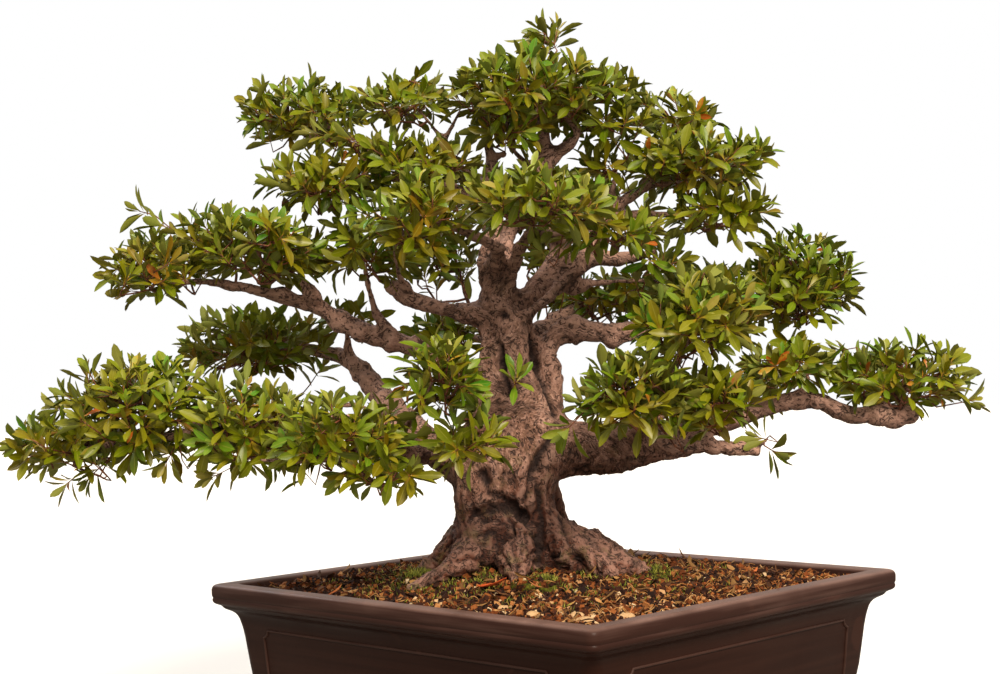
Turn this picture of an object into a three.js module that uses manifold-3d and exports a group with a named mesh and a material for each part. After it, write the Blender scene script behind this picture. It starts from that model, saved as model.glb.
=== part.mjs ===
// Chinzan satsuki azalea bonsai in its rectangular stoneware pot, in millimetres, +Z up.
// The origin is on the ground under the middle of the whole plant, and X runs along the pot's long
// side. Everything is laid out round the middle of the pot and moved to the origin at the end.
// The tree's front faces one corner of the pot, so the tree is laid out in its own front view and
// turned to the pot.
import * as THREE from "three";
import { mergeVertices } from "three/addons/utils/BufferGeometryUtils.js";
import Module from "manifold-3d";

const wasm = await Module();
wasm.setup();

// Driving dimensions
const DEG = Math.PI / 180;
const FIT_GAP = 0.4; // clearance between pieces that touch
const POT_LENGTH = 465;
const POT_WIDTH = 412;
const POT_HEIGHT = 150;
const FOOT_HEIGHT = 15;
const FLOOR_TOP = 27; // height of the pot's inner floor
const FLOOR_RECESS = 3; // the foot ring stands this far below the pot's underside
const RIM_WIDTH = 20;
const DRAIN_SPACING = 190;
const DRAIN_RADIUS = 14;
const SOIL_BOTTOM = 31.2;
const SOIL_EDGE = 141; // the soil lies about 8 mm below the rim at the walls
const MOUND = 22; // and rises by this much towards the trunk
const FRONT_TURN = 44.4 * DEG; // from the pot's X axis to the front view's left-to-right axis
const EYE_X = -38.6; // the front view's eye point, which the tree is laid out from
const EYE_Z = 344;
const EYE_DISTANCE = 1530;
const TRUNK_X = -14; // middle of the root flare in the front view

// Materials
function finish(color, roughness) {
  return new THREE.MeshStandardMaterial({ color, roughness, metalness: 0 });
}
const stoneware = finish(0x3a2722, 0.45);
const soilMix = finish(0x7a4a26, 0.95);
const bark = finish(0x6f5a4e, 0.85);
const foliage = finish(0x5f7f22, 0.5);
const mossGreen = finish(0x66752a, 0.95);
const pebbleStone = finish(0xc2a988, 0.8);
const screenPlastic = finish(0x222522, 0.6);
const wireMetal = new THREE.MeshStandardMaterial({ color: 0x8a8078, roughness: 0.4, metalness: 1 });
const dryLeaf = finish(0xc8642a, 0.7);

// Solids

// Merges a geometry's corners and hands it to the solid modeller.
function solid(geometry) {
  const bare = geometry.clone();
  bare.deleteAttribute("normal");
  bare.deleteAttribute("uv");
  const merged = mergeVertices(bare, 1e-4);
  return new wasm.Manifold(
    new wasm.Mesh({
      numProp: 3,
      vertProperties: merged.attributes.position.array,
      triVerts: new Uint32Array(merged.index.array),
    }),
  );
}

function joined(solids) {
  return solids.reduce((whole, piece) => whole.add(piece));
}

// A cut can leave crumbs, and only the largest body is kept.
function largest(cut) {
  return cut.decompose().reduce((a, b) => (b.volume() > a.volume() ? b : a));
}

function mesh(name, shape, material) {
  const made = shape.getMesh();
  const geometry = new THREE.BufferGeometry();
  geometry.setAttribute("position", new THREE.BufferAttribute(made.vertProperties, 3));
  geometry.setIndex(new THREE.BufferAttribute(made.triVerts, 1));
  geometry.computeVertexNormals();
  const piece = new THREE.Mesh(geometry, material);
  piece.name = name;
  return piece;
}

// A closed skin over rows of points: place(row, column) gives each point, rows run from one end to
// the other, columns go round, and ends holds the middle of the first and of the last row.
function skin(rows, columns, place, ends) {
  const geometry = new THREE.CylinderGeometry(1, 1, 1, columns, rows);
  const position = geometry.attributes.position;
  for (let i = 0; i < position.count; i++) {
    const row = Math.round((0.5 - position.getY(i)) * rows);
    const onAxis = Math.hypot(position.getX(i), position.getZ(i)) < 0.5;
    const turn = Math.atan2(position.getX(i), position.getZ(i)) / (2 * Math.PI);
    const column = Math.round((turn + 1) * columns) % columns;
    const at = onAxis ? ends[row ? 1 : 0] : place(row, column);
    position.setXYZ(i, at.x, at.y, at.z);
  }
  return geometry;
}

// Front view

// A point given as it is seen from the front: x across and z up in the upright plane through the
// middle of the pot, and y as its real depth behind that plane.
function seen(x, z, y) {
  const spread = 1 + y / EYE_DISTANCE;
  const across = EYE_X + (x - EYE_X) * spread;
  const up = EYE_Z + (z - EYE_Z) * spread;
  return new THREE.Vector3(across, y, up).applyAxisAngle(new THREE.Vector3(0, 0, 1), FRONT_TURN);
}

// Pot

const CORNER_STEPS = 3;
const RING_COLUMNS = 4 * (CORNER_STEPS + 1);
const SIDES = [1, -1, -1, 1]; // the X side of each corner, anticlockwise from +X +Y
const ENDS = [1, 1, -1, -1]; // and its Y side

// Point `column` of a rounded rectangle that lies `inset` inside the pot's outline.
function ringPoint(inset, radius, z, column) {
  const corner = Math.floor(column / (CORNER_STEPS + 1));
  const angle = (corner + (column % (CORNER_STEPS + 1)) / CORNER_STEPS) * 90 * DEG;
  const x = SIDES[corner] * (POT_LENGTH / 2 - inset - radius) + radius * Math.cos(angle);
  const y = ENDS[corner] * (POT_WIDTH / 2 - inset - radius) + radius * Math.sin(angle);
  return new THREE.Vector3(x, y, z);
}

// A solid of rounded rectangles: each row of the profile is a height, an inset and a corner radius.
function tub(profile) {
  const first = profile[0];
  const last = profile[profile.length - 1];
  return skin(
    profile.length - 1,
    RING_COLUMNS,
    (row, column) => ringPoint(profile[row][1], profile[row][2], profile[row][0], column),
    [new THREE.Vector3(0, 0, first[0]), new THREE.Vector3(0, 0, last[0])],
  );
}

// Height, inset and corner radius down the outside: a rounded lip, a cove under it and a wall
// that bows in to the foot. `proud` moves the wall out.
function outerProfile(proud) {
  const top = POT_HEIGHT;
  return [
    [top, 2.2, 7],
    [top - 2.2, 0, 8],
    [top - 15, 0.3, 8],
    [top - 18, 2.3, 8],
    [top - 19.3, 6.8 - proud, 10],
    [top - 25, 14 - proud, 11],
    [top - 33, 17 - proud, 13],
    [top - 50, 19.4 - proud, 14],
    [top - 81, 22.9 - proud, 14],
    [top - 107, 28.6 - proud, 14],
    [top - 127, 35.4 - proud, 14],
    [FOOT_HEIGHT, 41 - proud, 14],
  ];
}

const INNER_PROFILE = [
  [POT_HEIGHT + 5, RIM_WIDTH, 6],
  [POT_HEIGHT - 1, RIM_WIDTH, 6],
  [POT_HEIGHT - 12, RIM_WIDTH + 2, 6],
  [POT_HEIGHT - 24, RIM_WIDTH + 6.5, 7],
  [POT_HEIGHT - 42, RIM_WIDTH + 9.5, 8],
  [POT_HEIGHT - 80, RIM_WIDTH + 13, 8],
  [FLOOR_TOP, RIM_WIDTH + 27, 8],
];

// The raised line round the sunk panel on a wall, with a small step in each corner.
const PANEL_TOP = 111;
const PANEL_FOOT = 34;
const PANEL_MARGIN = 57; // from the pot's outer corner to the panel's end
const PANEL_LINE = 2.4;
const PANEL_STEP = 7;
const PANEL_RELIEF = 1;

function panelOutline(halfLength, grow, Kind) {
  const x = halfLength + grow;
  const top = PANEL_TOP + grow;
  const foot = PANEL_FOOT - grow;
  const step = PANEL_STEP;
  const outline = new Kind();
  outline.moveTo(step - x, foot);
  outline.lineTo(x - step, foot);
  outline.quadraticCurveTo(x - step, foot + step, x, foot + step);
  outline.lineTo(x, top - step);
  outline.quadraticCurveTo(x - step, top - step, x - step, top);
  outline.lineTo(step - x, top);
  outline.quadraticCurveTo(step - x, top - step, -x, top - step);
  outline.lineTo(-x, foot + step);
  outline.quadraticCurveTo(step - x, foot + step, step - x, foot);
  return outline;
}

function panelLine(halfLength, turn) {
  const outline = panelOutline(halfLength, 0, THREE.Shape);
  outline.holes.push(panelOutline(halfLength, -PANEL_LINE, THREE.Path));
  const geometry = new THREE.ExtrudeGeometry(outline, {
    depth: POT_LENGTH / 2,
    bevelEnabled: false,
    curveSegments: 1,
  });
  geometry.rotateX(90 * DEG);
  return solid(geometry.rotateZ(turn));
}

function panelLines() {
  const long = POT_LENGTH / 2 - PANEL_MARGIN;
  const short = POT_WIDTH / 2 - PANEL_MARGIN;
  const lines = joined([
    panelLine(long, 0),
    panelLine(long, 180 * DEG),
    panelLine(short, 90 * DEG),
    panelLine(short, -90 * DEG),
  ]);
  return lines.intersect(solid(tub(outerProfile(PANEL_RELIEF)))).subtract(solid(tub(INNER_PROFILE)));
}

// One corner foot: an angle in plan whose arms fall away in a curve at their ends.
const FOOT_ARM = 92;
const FOOT_INSET = 37;
const FOOT_THICKNESS = 17;

function footArm() {
  const top = FOOT_HEIGHT + FLOOR_RECESS;
  const side = new THREE.Shape();
  side.moveTo(0, 0);
  side.lineTo(FOOT_ARM - 14, 0);
  side.quadraticCurveTo(FOOT_ARM - 6, 1, FOOT_ARM - 5, 8);
  side.quadraticCurveTo(FOOT_ARM - 4, 13, FOOT_ARM + 5, top);
  side.lineTo(0, top);
  side.closePath();
  const geometry = new THREE.ExtrudeGeometry(side, {
    depth: FOOT_THICKNESS,
    bevelEnabled: false,
    curveSegments: 3,
  });
  geometry.rotateX(90 * DEG);
  return geometry;
}

// The foot of corner 0 has its outer corner at +X +Y, and the next ones follow anticlockwise.
function cornerFoot(corner) {
  const x = POT_LENGTH / 2 - FOOT_INSET;
  const y = POT_WIDTH / 2 - FOOT_INSET;
  const along = footArm();
  along.rotateZ(180 * DEG);
  along.translate(0, -FOOT_THICKNESS, 0);
  const across = footArm();
  across.rotateZ(-90 * DEG);
  const arms = [along, across].map((arm) => {
    arm.rotateZ(corner * 90 * DEG);
    arm.translate(SIDES[corner] * x, ENDS[corner] * y, 0);
    return solid(arm);
  });
  return joined(arms);
}

function drainHole(side) {
  const hole = new THREE.CylinderGeometry(DRAIN_RADIUS, DRAIN_RADIUS, 30, 20);
  hole.rotateX(90 * DEG);
  hole.translate((side * DRAIN_SPACING) / 2, 0, FLOOR_TOP - 10);
  return solid(hole);
}

function potSolid() {
  const feet = [0, 1, 2, 3].map(cornerFoot);
  const wall = solid(tub(outerProfile(0))).subtract(solid(tub(INNER_PROFILE)));
  return joined([wall, panelLines(), ...feet])
    .subtract(drainHole(1))
    .subtract(drainHole(-1));
}

// Drainage screens and the wire staples that hold them over the holes

const SCREEN_SIDE = 52;
const SCREEN_THICKNESS = 1.2;
const SCREEN_HOLES = 4;
const SCREEN_PITCH = 11;
const SCREEN_OPENING = 8;
const SCREEN_Z = FLOOR_TOP + FIT_GAP + SCREEN_THICKNESS / 2;
const WIRE_RADIUS = 0.8;
const WIRE_REACH = SCREEN_PITCH / 2; // the legs go through the openings next to the middle
const WIRE_BEND = 11; // from the middle of the hole to where an end lies flat under the pot
const WIRE_END = 26;

function drainScreen() {
  let sheet = solid(new THREE.BoxGeometry(SCREEN_SIDE, SCREEN_SIDE, SCREEN_THICKNESS));
  const first = -((SCREEN_HOLES - 1) / 2) * SCREEN_PITCH;
  for (let i = 0; i < SCREEN_HOLES; i++) {
    for (let j = 0; j < SCREEN_HOLES; j++) {
      const opening = new THREE.BoxGeometry(SCREEN_OPENING, SCREEN_OPENING, 3 * SCREEN_THICKNESS);
      opening.translate(first + i * SCREEN_PITCH, first + j * SCREEN_PITCH, 0);
      sheet = sheet.subtract(solid(opening));
    }
  }
  return sheet;
}

// A staple over the screen, down through the hole, with its ends bent out under the pot.
function drainWire() {
  const over = SCREEN_Z + SCREEN_THICKNESS / 2 + FIT_GAP + WIRE_RADIUS;
  const under = FOOT_HEIGHT - FIT_GAP - WIRE_RADIUS;
  const half = [
    [WIRE_REACH - 2, over],
    [WIRE_REACH, over - 2],
    [WIRE_REACH, under + 3],
    [WIRE_BEND, under],
    [WIRE_END, under],
  ];
  const otherHalf = half.map(([x, z]) => [-x, z]).reverse();
  const route = [...otherHalf, ...half].map(([x, z]) => new THREE.Vector3(x, WIRE_REACH, z));
  const section = new THREE.Shape().absarc(0, 0, WIRE_RADIUS, 0, 2 * Math.PI);
  return new THREE.ExtrudeGeometry(section, {
    steps: 18,
    curveSegments: 3,
    extrudePath: new THREE.CatmullRomCurve3(route, false, "centripetal"),
  });
}

// Wood

// Each limb is a list of stations [x, z, y, r]: x, z and y as seen from the front, and r the
// radius. The lists follow the tree from the roots up.
const TRUNK = [
  [-18, 134, 6, 70], [-20, 150, 5, 64], [-26, 170, 3, 54], [-37, 196, 0, 47],
  [-39, 222, 0, 46], [-39, 252, 0, 48], [-32, 286, 0, 40], [-29, 312, 0, 35], [-29, 334, 0, 24],
];
const TRUNK_DEPTH = 0.92; // the trunk is a little thinner from front to back

const FLUTES = [
  [[-72, 176, -28, 14], [-70, 200, -26, 14], [-69, 236, -22, 14], [-75, 258, -18, 13]],
  [[-25, 176, -48, 13], [-27, 194, -40, 12], [-20, 228, -34, 13], [-30, 270, -30, 14], [-32, 305, -22, 12]],
  [[12, 178, -38, 15], [0, 200, -28, 14], [-8, 226, -24, 14], [0, 252, -20, 16], [-6, 292, -16, 14]],
  [[-74, 178, 24, 15], [-66, 205, 26, 14], [-62, 245, 26, 14]],
  [[-31, 178, 48, 16], [-34, 202, 40, 15], [-36, 250, 36, 15], [-30, 300, 26, 14]],
  [[14, 180, 32, 16], [3, 206, 22, 15], [-5, 250, 26, 15], [2, 290, 18, 14]],
];

const ROOTS = [
  [[4, 180, -22, 25], [34, 169, -34, 20], [60, 159, -42, 16.5], [84, 151, -48, 10], [102, 143, -52, 5]],
  [[12, 172, -40, 20], [40, 161, -60, 15], [60, 149, -73, 8]],
  [[-32, 174, -48, 20], [-31, 156, -70, 14], [-28, 144, -88, 7]],
  [[-66, 178, -30, 20], [-83, 160, -50, 14], [-108, 150, -67, 8], [-126, 142, -78, 4]],
  [[-76, 186, -4, 18], [-96, 168, -8, 13], [-120, 154, -14, 8], [-146, 143, -20, 4]],
  [[-62, 182, 30, 22], [-88, 162, 58, 14], [-112, 147, 80, 7]],
  [[-24, 178, 44, 24], [-20, 159, 76, 15], [-15, 145, 102, 7]],
  [[12, 182, 36, 24], [40, 162, 66, 14], [64, 146, 88, 7]],
  [[30, 180, 8, 20], [62, 162, 18, 14], [90, 149, 26, 8], [112, 141, 30, 4]],
];

const STEMS = [
  [[-27, 296, -10, 25], [-21, 322, -19, 16], [-24, 344, -19, 13.5], [-27, 364, -15, 15],
    [-33, 384, -10, 17], [-42, 402, -8, 15.5], [-47, 420, -8, 12.5], [-46, 438, -6, 10.5],
    [-43, 460, 2, 9.2], [-40, 484, 8, 8.6], [-43, 505, 12, 7.4], [-42, 524, 14, 6.2],
    [-46, 552, 14, 4.8], [-50, 576, 12, 3.4], [-46, 598, 8, 2]],
  [[-30, 380, -4, 15], [-18, 396, 2, 15.5], [-2, 410, 6, 14], [12, 426, 12, 12], [19, 446, 14, 10.5],
    [16, 470, 12, 10], [8, 494, 10, 10.5], [1, 516, 10, 10.5], [6, 534, 12, 8], [6, 556, 13, 6],
    [2, 580, 12, 4.6], [5, 606, 10, 3.4], [10, 634, 8, 2]],
  [[-10, 290, 14, 20], [-13, 326, 15, 14], [-16, 356, 12, 12.5], [-24, 384, 2, 14]],
  [[-2, 280, 4, 20], [4, 306, 8, 15], [5, 334, 10, 14], [4, 358, 12, 14], [14, 371, 17, 14],
    [38, 370, 25, 12.5], [62, 367, 33, 10.5], [100, 371, 46, 8.5], [140, 378, 56, 7],
    [180, 380, 60, 5.6], [215, 394, 62, 4.2], [248, 412, 62, 2.8]],
  [[-47, 304, -8, 17], [-49, 330, -12, 14], [-51, 352, -13, 10], [-52.5, 377, -13, 2]],
  [[2, 518, 10, 9], [15, 524, 8, 7.5], [31, 538, 4, 6.8], [38, 548, 2, 6], [29, 560, 2, 4.8],
    [24, 580, 2, 3.6], [32, 604, -2, 2.2]],
  [[-43, 527, 14, 4.5], [-36, 530, 13, 4], [-29, 531, 12, 3.4]],
];

const LEFT_LIMBS = [
  [[-56, 244, 0, 26], [-92, 262, 2, 21], [-116, 280, 16, 17], [-134, 301, 34, 14.5],
    [-150, 320, 60, 12.5], [-165, 341, 84, 10.5], [-184, 354, 106, 8.5], [-220, 362, 124, 6.2],
    [-262, 370, 132, 4.2], [-302, 376, 132, 2.5]],
  [[-52, 316, 2, 20], [-75, 337, 4, 12.5], [-101, 355, 9, 11], [-128, 363, 13, 10],
    [-152, 370, 14, 9.4], [-176, 382, 13, 9.4], [-202, 399, 10, 8.6], [-236, 408, 4, 7],
    [-268, 418, -4, 5.6], [-304, 424, -12, 4.6], [-344, 424, -20, 3.4], [-370, 434, -24, 2]],
  [[-198, 398, 10, 6.5], [-214, 418, -6, 5], [-236, 442, -22, 3.8], [-262, 456, -32, 2.4]],
  [[-128, 363, 13, 7], [-150, 390, 6, 5], [-156, 416, -4, 4], [-160, 440, -10, 2.4]],
  [[-44, 384, -8, 15], [-80, 390, -15, 9.4], [-101, 397, -18, 8.6], [-122, 404, -20, 8.2],
    [-138, 416, -22, 7]],
  [[-118, 406, -20, 4.5], [-128, 424, -44, 3.6], [-132, 446, -72, 2.6], [-122, 470, -92, 1.9]],
  [[-104, 272, 0, 13], [-138, 288, -14, 10], [-180, 294, -30, 8.6], [-236, 296, -48, 7.2],
    [-292, 290, -60, 6], [-352, 284, -66, 4.8], [-408, 278, -70, 3.4], [-446, 272, -74, 2.1]],
  [[-122, 292, 18, 6], [-146, 302, 30, 4.4], [-170, 309, 44, 3.8], [-200, 310, 66, 3.2],
    [-228, 316, 90, 2.6]],
  [[-212, 295, -40, 6], [-246, 306, -62, 4.2], [-282, 318, -74, 2.6]],
  [[-98, 262, -6, 12], [-122, 264, -52, 9], [-150, 266, -96, 7], [-186, 262, -128, 5.4],
    [-226, 260, -142, 3.6], [-258, 262, -146, 2.2]],
  [[-126, 264, -62, 6.5], [-128, 284, -106, 4.8], [-110, 310, -136, 3.6], [-98, 334, -146, 2.2]],
  [[-104, 262, -24, 7], [-92, 268, -84, 5], [-76, 280, -128, 3.6], [-62, 300, -148, 2.6],
    [-50, 326, -156, 1.6]],
  [[-164, 265, -108, 4.6], [-176, 280, -134, 3.4], [-190, 298, -146, 2]],
  [[-300, 289, -60, 4.5], [-330, 306, -64, 3.4], [-368, 322, -64, 2.2]],
  [[-174, 348, 96, 5], [-176, 372, 86, 3.8], [-180, 392, 76, 2.2]],
];

const RIGHT_LIMBS = [
  [[-14, 266, 2, 33], [18, 264, 0, 28.5], [44, 264, -3, 26.5], [68, 261, -6, 23.5], [90, 266, -6, 20],
    [110, 271, -5, 16.5], [140, 280, -2, 12.5], [168, 286, 0, 10.5], [200, 297, 2, 9.6], [228, 303, 2, 9.4],
    [246, 301, 2, 9.6], [262, 292, 2, 9.6], [280, 286, 2, 9.6], [298, 289, 2, 9.8], [316, 286, 2, 10.4],
    [333, 285, 2, 8.6]],
  [[92, 258, -10, 10.5], [112, 257, -14, 8.6], [147, 263, -16, 8.4], [176, 258, -14, 8],
    [190, 257, -12, 5.6]],
  [[300, 291, 2, 4.6], [312, 308, 4, 3.4], [330, 322, 4, 2.6], [348, 338, 2, 1.8]],
  [[228, 304, 2, 4.6], [238, 322, -2, 3.4], [226, 340, -8, 2]],
  [[72, 268, -14, 12], [90, 284, -52, 8.5], [104, 306, -86, 6.4], [118, 336, -104, 4.8],
    [136, 370, -112, 3.4], [142, 396, -112, 2]],
  [[94, 290, -62, 5.5], [84, 306, -100, 4.2], [70, 322, -130, 2.4]],
  [[102, 300, -78, 5], [126, 306, -98, 3.8], [150, 314, -108, 2.2]],
  [[184, 259, -12, 4], [196, 265, -10, 3], [203, 273, -10, 1.9]],
  [[62, 270, 12, 11], [94, 288, 58, 7], [126, 302, 102, 5], [156, 312, 136, 2.8]],
];

const UPPER_LIMBS = [
  [[-14, 394, 2, 14], [4, 406, 6, 12.5], [22, 422, 12, 11.5], [44, 436, 18, 10.2], [70, 433, 22, 8.6],
    [92, 436, 20, 5.6], [104, 440, 14, 3]],
  [[40, 434, 18, 7.5], [54, 458, 28, 6.8], [64, 478, 32, 6.4], [92, 495, 34, 6], [112, 501, 34, 5],
    [146, 498, 30, 3.8], [176, 494, 20, 2.3]],
  [[60, 470, 30, 6], [90, 473, 28, 5.2], [120, 472, 20, 4.4], [138, 477, 12, 3.2], [156, 484, 6, 2]],
  [[92, 494, 34, 5], [106, 520, 30, 4], [122, 548, 24, 2.4]],
  [[58, 470, 30, 5], [68, 500, 32, 4], [72, 524, 32, 2.4]],
  [[-34, 372, -20, 9], [-14, 387, -22, 5.6], [4, 400, -18, 5], [22, 416, -4, 4.6], [36, 430, 10, 4]],
  [[10, 408, 10, 6], [44, 412, 16, 4], [84, 414, 26, 3.4], [124, 410, 36, 2.2]],
  [[-44, 424, -12, 11], [-38, 446, -42, 7.6], [-62, 460, -72, 5.4], [-96, 474, -94, 3.8],
    [-124, 484, -100, 2.2]],
  [[-32, 400, -8, 11], [-26, 422, -18, 8], [-20, 441, -32, 7], [-10, 459, -56, 6], [-2, 474, -88, 4.6],
    [-4, 490, -112, 2.6]],
  [[-8, 460, -56, 4.6], [22, 458, -62, 3.8], [52, 460, -62, 2.4]],
  [[-40, 484, 8, 7.5], [-76, 502, 2, 6], [-112, 512, -10, 5], [-154, 514, -12, 4],
    [-204, 518, -12, 2.4]],
  [[-42, 500, 12, 6.5], [-84, 522, 34, 5.8], [-128, 532, 52, 5.6], [-156, 541, 60, 5.4],
    [-184, 546, 62, 4.8], [-208, 552, 62, 3.8], [-230, 570, 60, 2.2]],
  [[-168, 543, 60, 3.8], [-190, 562, 60, 3], [-205, 590, 60, 1.8]],
  [[-62, 508, 22, 5], [-84, 544, 14, 3.8], [-102, 568, 10, 3], [-118, 588, 8, 1.9]],
  [[-84, 542, 14, 2.8], [-74, 562, 8, 2.4], [-64, 580, 4, 1.8]],
  [[10, 530, 12, 4.4], [36, 546, 18, 3.4], [58, 562, 20, 2]],
  [[-4, 514, 8, 4.4], [-20, 532, 0, 3.2], [-28, 550, -8, 1.9]],
  [[-26, 312, 16, 22], [-22, 342, 44, 13], [-6, 366, 78, 10], [14, 382, 114, 7.6],
    [30, 392, 146, 5], [42, 398, 172, 2.8]],
  [[-18, 348, 52, 8], [-46, 362, 96, 5.8], [-70, 370, 136, 4.2], [-86, 374, 164, 2.4]],
  [[-38, 412, -2, 13], [-36, 432, 24, 11], [-30, 456, 56, 9], [-20, 476, 92, 6.2], [-12, 492, 124, 3]],
  [[-26, 464, 68, 5.4], [12, 478, 96, 4], [44, 488, 116, 2.4]],
];

// One limb: rings of points across a curve through its stations.
function limb(stations, grow, depth = 1) {
  const curve = new THREE.CatmullRomCurve3(
    stations.map(([x, z, y]) => seen(x, z, y)),
    false,
    "centripetal",
  );
  const thickest = Math.max(...stations.map((s) => s[3]));
  const columns = thickest > 40 ? 12 : thickest > 11 ? 7 : 5;
  const rows = stations.length - 1;
  const frames = curve.computeFrenetFrames(rows, false);
  const centre = (row) => curve.getPoint(row / rows);
  const radius = (row) => stations[row][3] + grow;
  const back = new THREE.Vector3(-Math.sin(FRONT_TURN), Math.cos(FRONT_TURN), 0);
  const place = (row, column) => {
    const angle = ((column + (row % 2) / 2) / columns) * 2 * Math.PI;
    const normal = frames.normals[row];
    const round = new THREE.Vector3().crossVectors(normal, frames.tangents[row]);
    const out = normal.clone().multiplyScalar(Math.cos(angle));
    out.addScaledVector(round, Math.sin(angle));
    out.addScaledVector(back, (depth - 1) * out.dot(back));
    return centre(row).addScaledVector(out, radius(row));
  };
  const ends = [centre(0), centre(rows)];
  ends[1].addScaledVector(frames.tangents[rows], 0.6 * radius(rows));
  return solid(skin(rows, columns, place, ends));
}

// The hollows between the roots and under the old cuts, as [x, z, y, across, up].
const HOLLOWS = [
  [-62, 206, -40, 13, 7], [-36, 211, -44, 9, 10], [-22, 205, -42, 8, 6], [-47, 181, -54, 6, 12],
  [-1, 176, -52, 7, 13], [-34, 317, -34, 9, 7],
];

function hollow([x, z, y, across, up]) {
  const ball = new THREE.IcosahedronGeometry(1, 1);
  ball.scale(across, across, up);
  const at = seen(x, z, y);
  ball.translate(at.x, at.y, at.z);
  return solid(ball);
}

function rootFlare(grow) {
  return joined([
    limb(TRUNK, grow, TRUNK_DEPTH),
    ...FLUTES.map((stations) => limb(stations, grow)),
    ...ROOTS.map((stations) => limb(stations, grow)),
  ]);
}

function wood(grow) {
  const limbs = [...STEMS, ...LEFT_LIMBS, ...RIGHT_LIMBS, ...UPPER_LIMBS];
  return joined([rootFlare(grow), ...limbs.map((stations) => limb(stations, grow))]);
}

function woodSolid() {
  return HOLLOWS.reduce((rest, h) => rest.subtract(hollow(h)), wood(0));
}

// Foliage

// Each clump of shoots is [x, z, y, across, high, deep]: its middle as seen from the front and its
// half sizes.
const CLUMPS = {
  shoots_crown_tip: [8, 633, 8, 25, 27, 27],
  shoots_crown: [1, 589, -2, 90, 42, 78],
  shoots_crown_right: [68, 561, 22, 36, 20, 42],
  shoots_crown_left: [-30, 555, -14, 32, 17, 34],
  shoots_mid_left_top: [-120, 582, 8, 45, 30, 46],
  shoots_left_top: [-212, 578, 60, 60, 34, 54],
  shoots_mid_left: [-191, 517, -12, 57, 30, 58],
  shoots_mid_left_inner: [-113, 525, -14, 61, 30, 56],
  shoots_centre_front_left: [-112, 480, -98, 64, 38, 56],
  shoots_centre_front: [-6, 492, -116, 70, 38, 60],
  shoots_inner_right: [62, 462, -60, 46, 26, 44],
  shoots_right_upper_top: [128, 558, 22, 37, 28, 41],
  shoots_right_upper: [141, 523, 18, 72, 33, 64],
  shoots_right_upper_inner: [68, 524, 34, 38, 30, 42],
  shoots_right_upper_low: [160, 475, -4, 41, 21, 43],
  shoots_right_inner: [97, 431, 4, 29, 16, 31],
  shoots_right_mid: [229, 409, 60, 64, 50, 60],
  shoots_right_mid_inner: [140, 409, 40, 46, 24, 46],
  shoots_right_low_inner: [218, 336, -8, 42, 30, 46],
  shoots_right_tip: [317, 325, 2, 69, 42, 54],
  shoots_right_front_top: [138, 380, -110, 68, 50, 60],
  shoots_right_front: [78, 315, -140, 52, 53, 52],
  shoots_right_front_low: [146, 308, -106, 58, 38, 54],
  shoots_right_hanging: [201, 268, -10, 18, 18, 20],
  shoots_left_upper_tip: [-345, 441, -26, 53, 40, 50],
  shoots_left_upper: [-258, 459, -32, 70, 43, 62],
  shoots_left_upper_inner: [-160, 446, -12, 52, 33, 50],
  shoots_low_left_back: [-256, 370, 130, 76, 34, 62],
  shoots_left_inner: [-176, 392, 74, 34, 18, 36],
  shoots_low_left_tip: [-425, 288, -72, 53, 34, 48],
  shoots_low_left: [-370, 312, -64, 74, 58, 66],
  shoots_low_left_inner: [-266, 293, -82, 62, 51, 58],
  shoots_front_left: [-180, 286, -146, 66, 48, 52],
  shoots_front_left_low: [-150, 248, -150, 48, 24, 42],
  shoots_front_centre: [-94, 334, -146, 46, 46, 46],
  shoots_front_inner: [-68, 282, -150, 38, 30, 36],
  shoots_front_tip: [-47, 329, -158, 24, 15, 22],
  shoots_back_centre: [58, 402, 160, 62, 27, 60],
  shoots_back_left: [-84, 372, 160, 46, 24, 50],
  shoots_back_upper: [-6, 496, 130, 78, 30, 60],
  shoots_back_low: [150, 314, 140, 58, 28, 52],
};
const CLUMP_FOOT = 0.62; // a clump is flatter below than above
const LUMP = 0.09;
const FACET_SPARE = 1.04; // the flat faces of a clump reach its half sizes on the average

// A clump's outer skin, lumpy where its shoots stand out.
function clump([x, z, y, across, high, deep], turn, grow) {
  const ball = new THREE.IcosahedronGeometry(1, 1);
  const position = ball.attributes.position;
  const middle = seen(x, z, y);
  const spread = 1 + y / EYE_DISTANCE;
  const axis = new THREE.Vector3(0, 0, 1);
  for (let i = 0; i < position.count; i++) {
    const way = new THREE.Vector3().fromBufferAttribute(position, i);
    const lumps = Math.sin(4 * way.x + turn) + Math.sin(5 * way.y + 2 * turn);
    const reach = FACET_SPARE + (LUMP / 2) * (lumps + Math.sin(3 * way.z - turn));
    const up = way.z > 0 ? high : high * CLUMP_FOOT;
    const at = new THREE.Vector3(
      way.x * reach * across * spread + Math.sign(way.x) * grow,
      way.y * reach * deep + Math.sign(way.y) * grow,
      way.z * reach * up * spread + Math.sign(way.z) * grow,
    );
    at.applyAxisAngle(axis, FRONT_TURN).add(middle);
    position.setXYZ(i, at.x, at.y, at.z);
  }
  return solid(ball);
}

// Every clump gives way to the wood and to the clumps before it.
function clumpSolids(grownWood) {
  const made = [];
  const grown = [];
  Object.entries(CLUMPS).forEach(([name, sizes], i) => {
    const turn = 1.7 * i;
    let shape = clump(sizes, turn, 0).subtract(grownWood);
    for (const other of grown) shape = shape.subtract(other);
    made.push([name, largest(shape)]);
    grown.push(clump(sizes, turn, FIT_GAP));
  });
  return made;
}

// Soil and what lies on it

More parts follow.
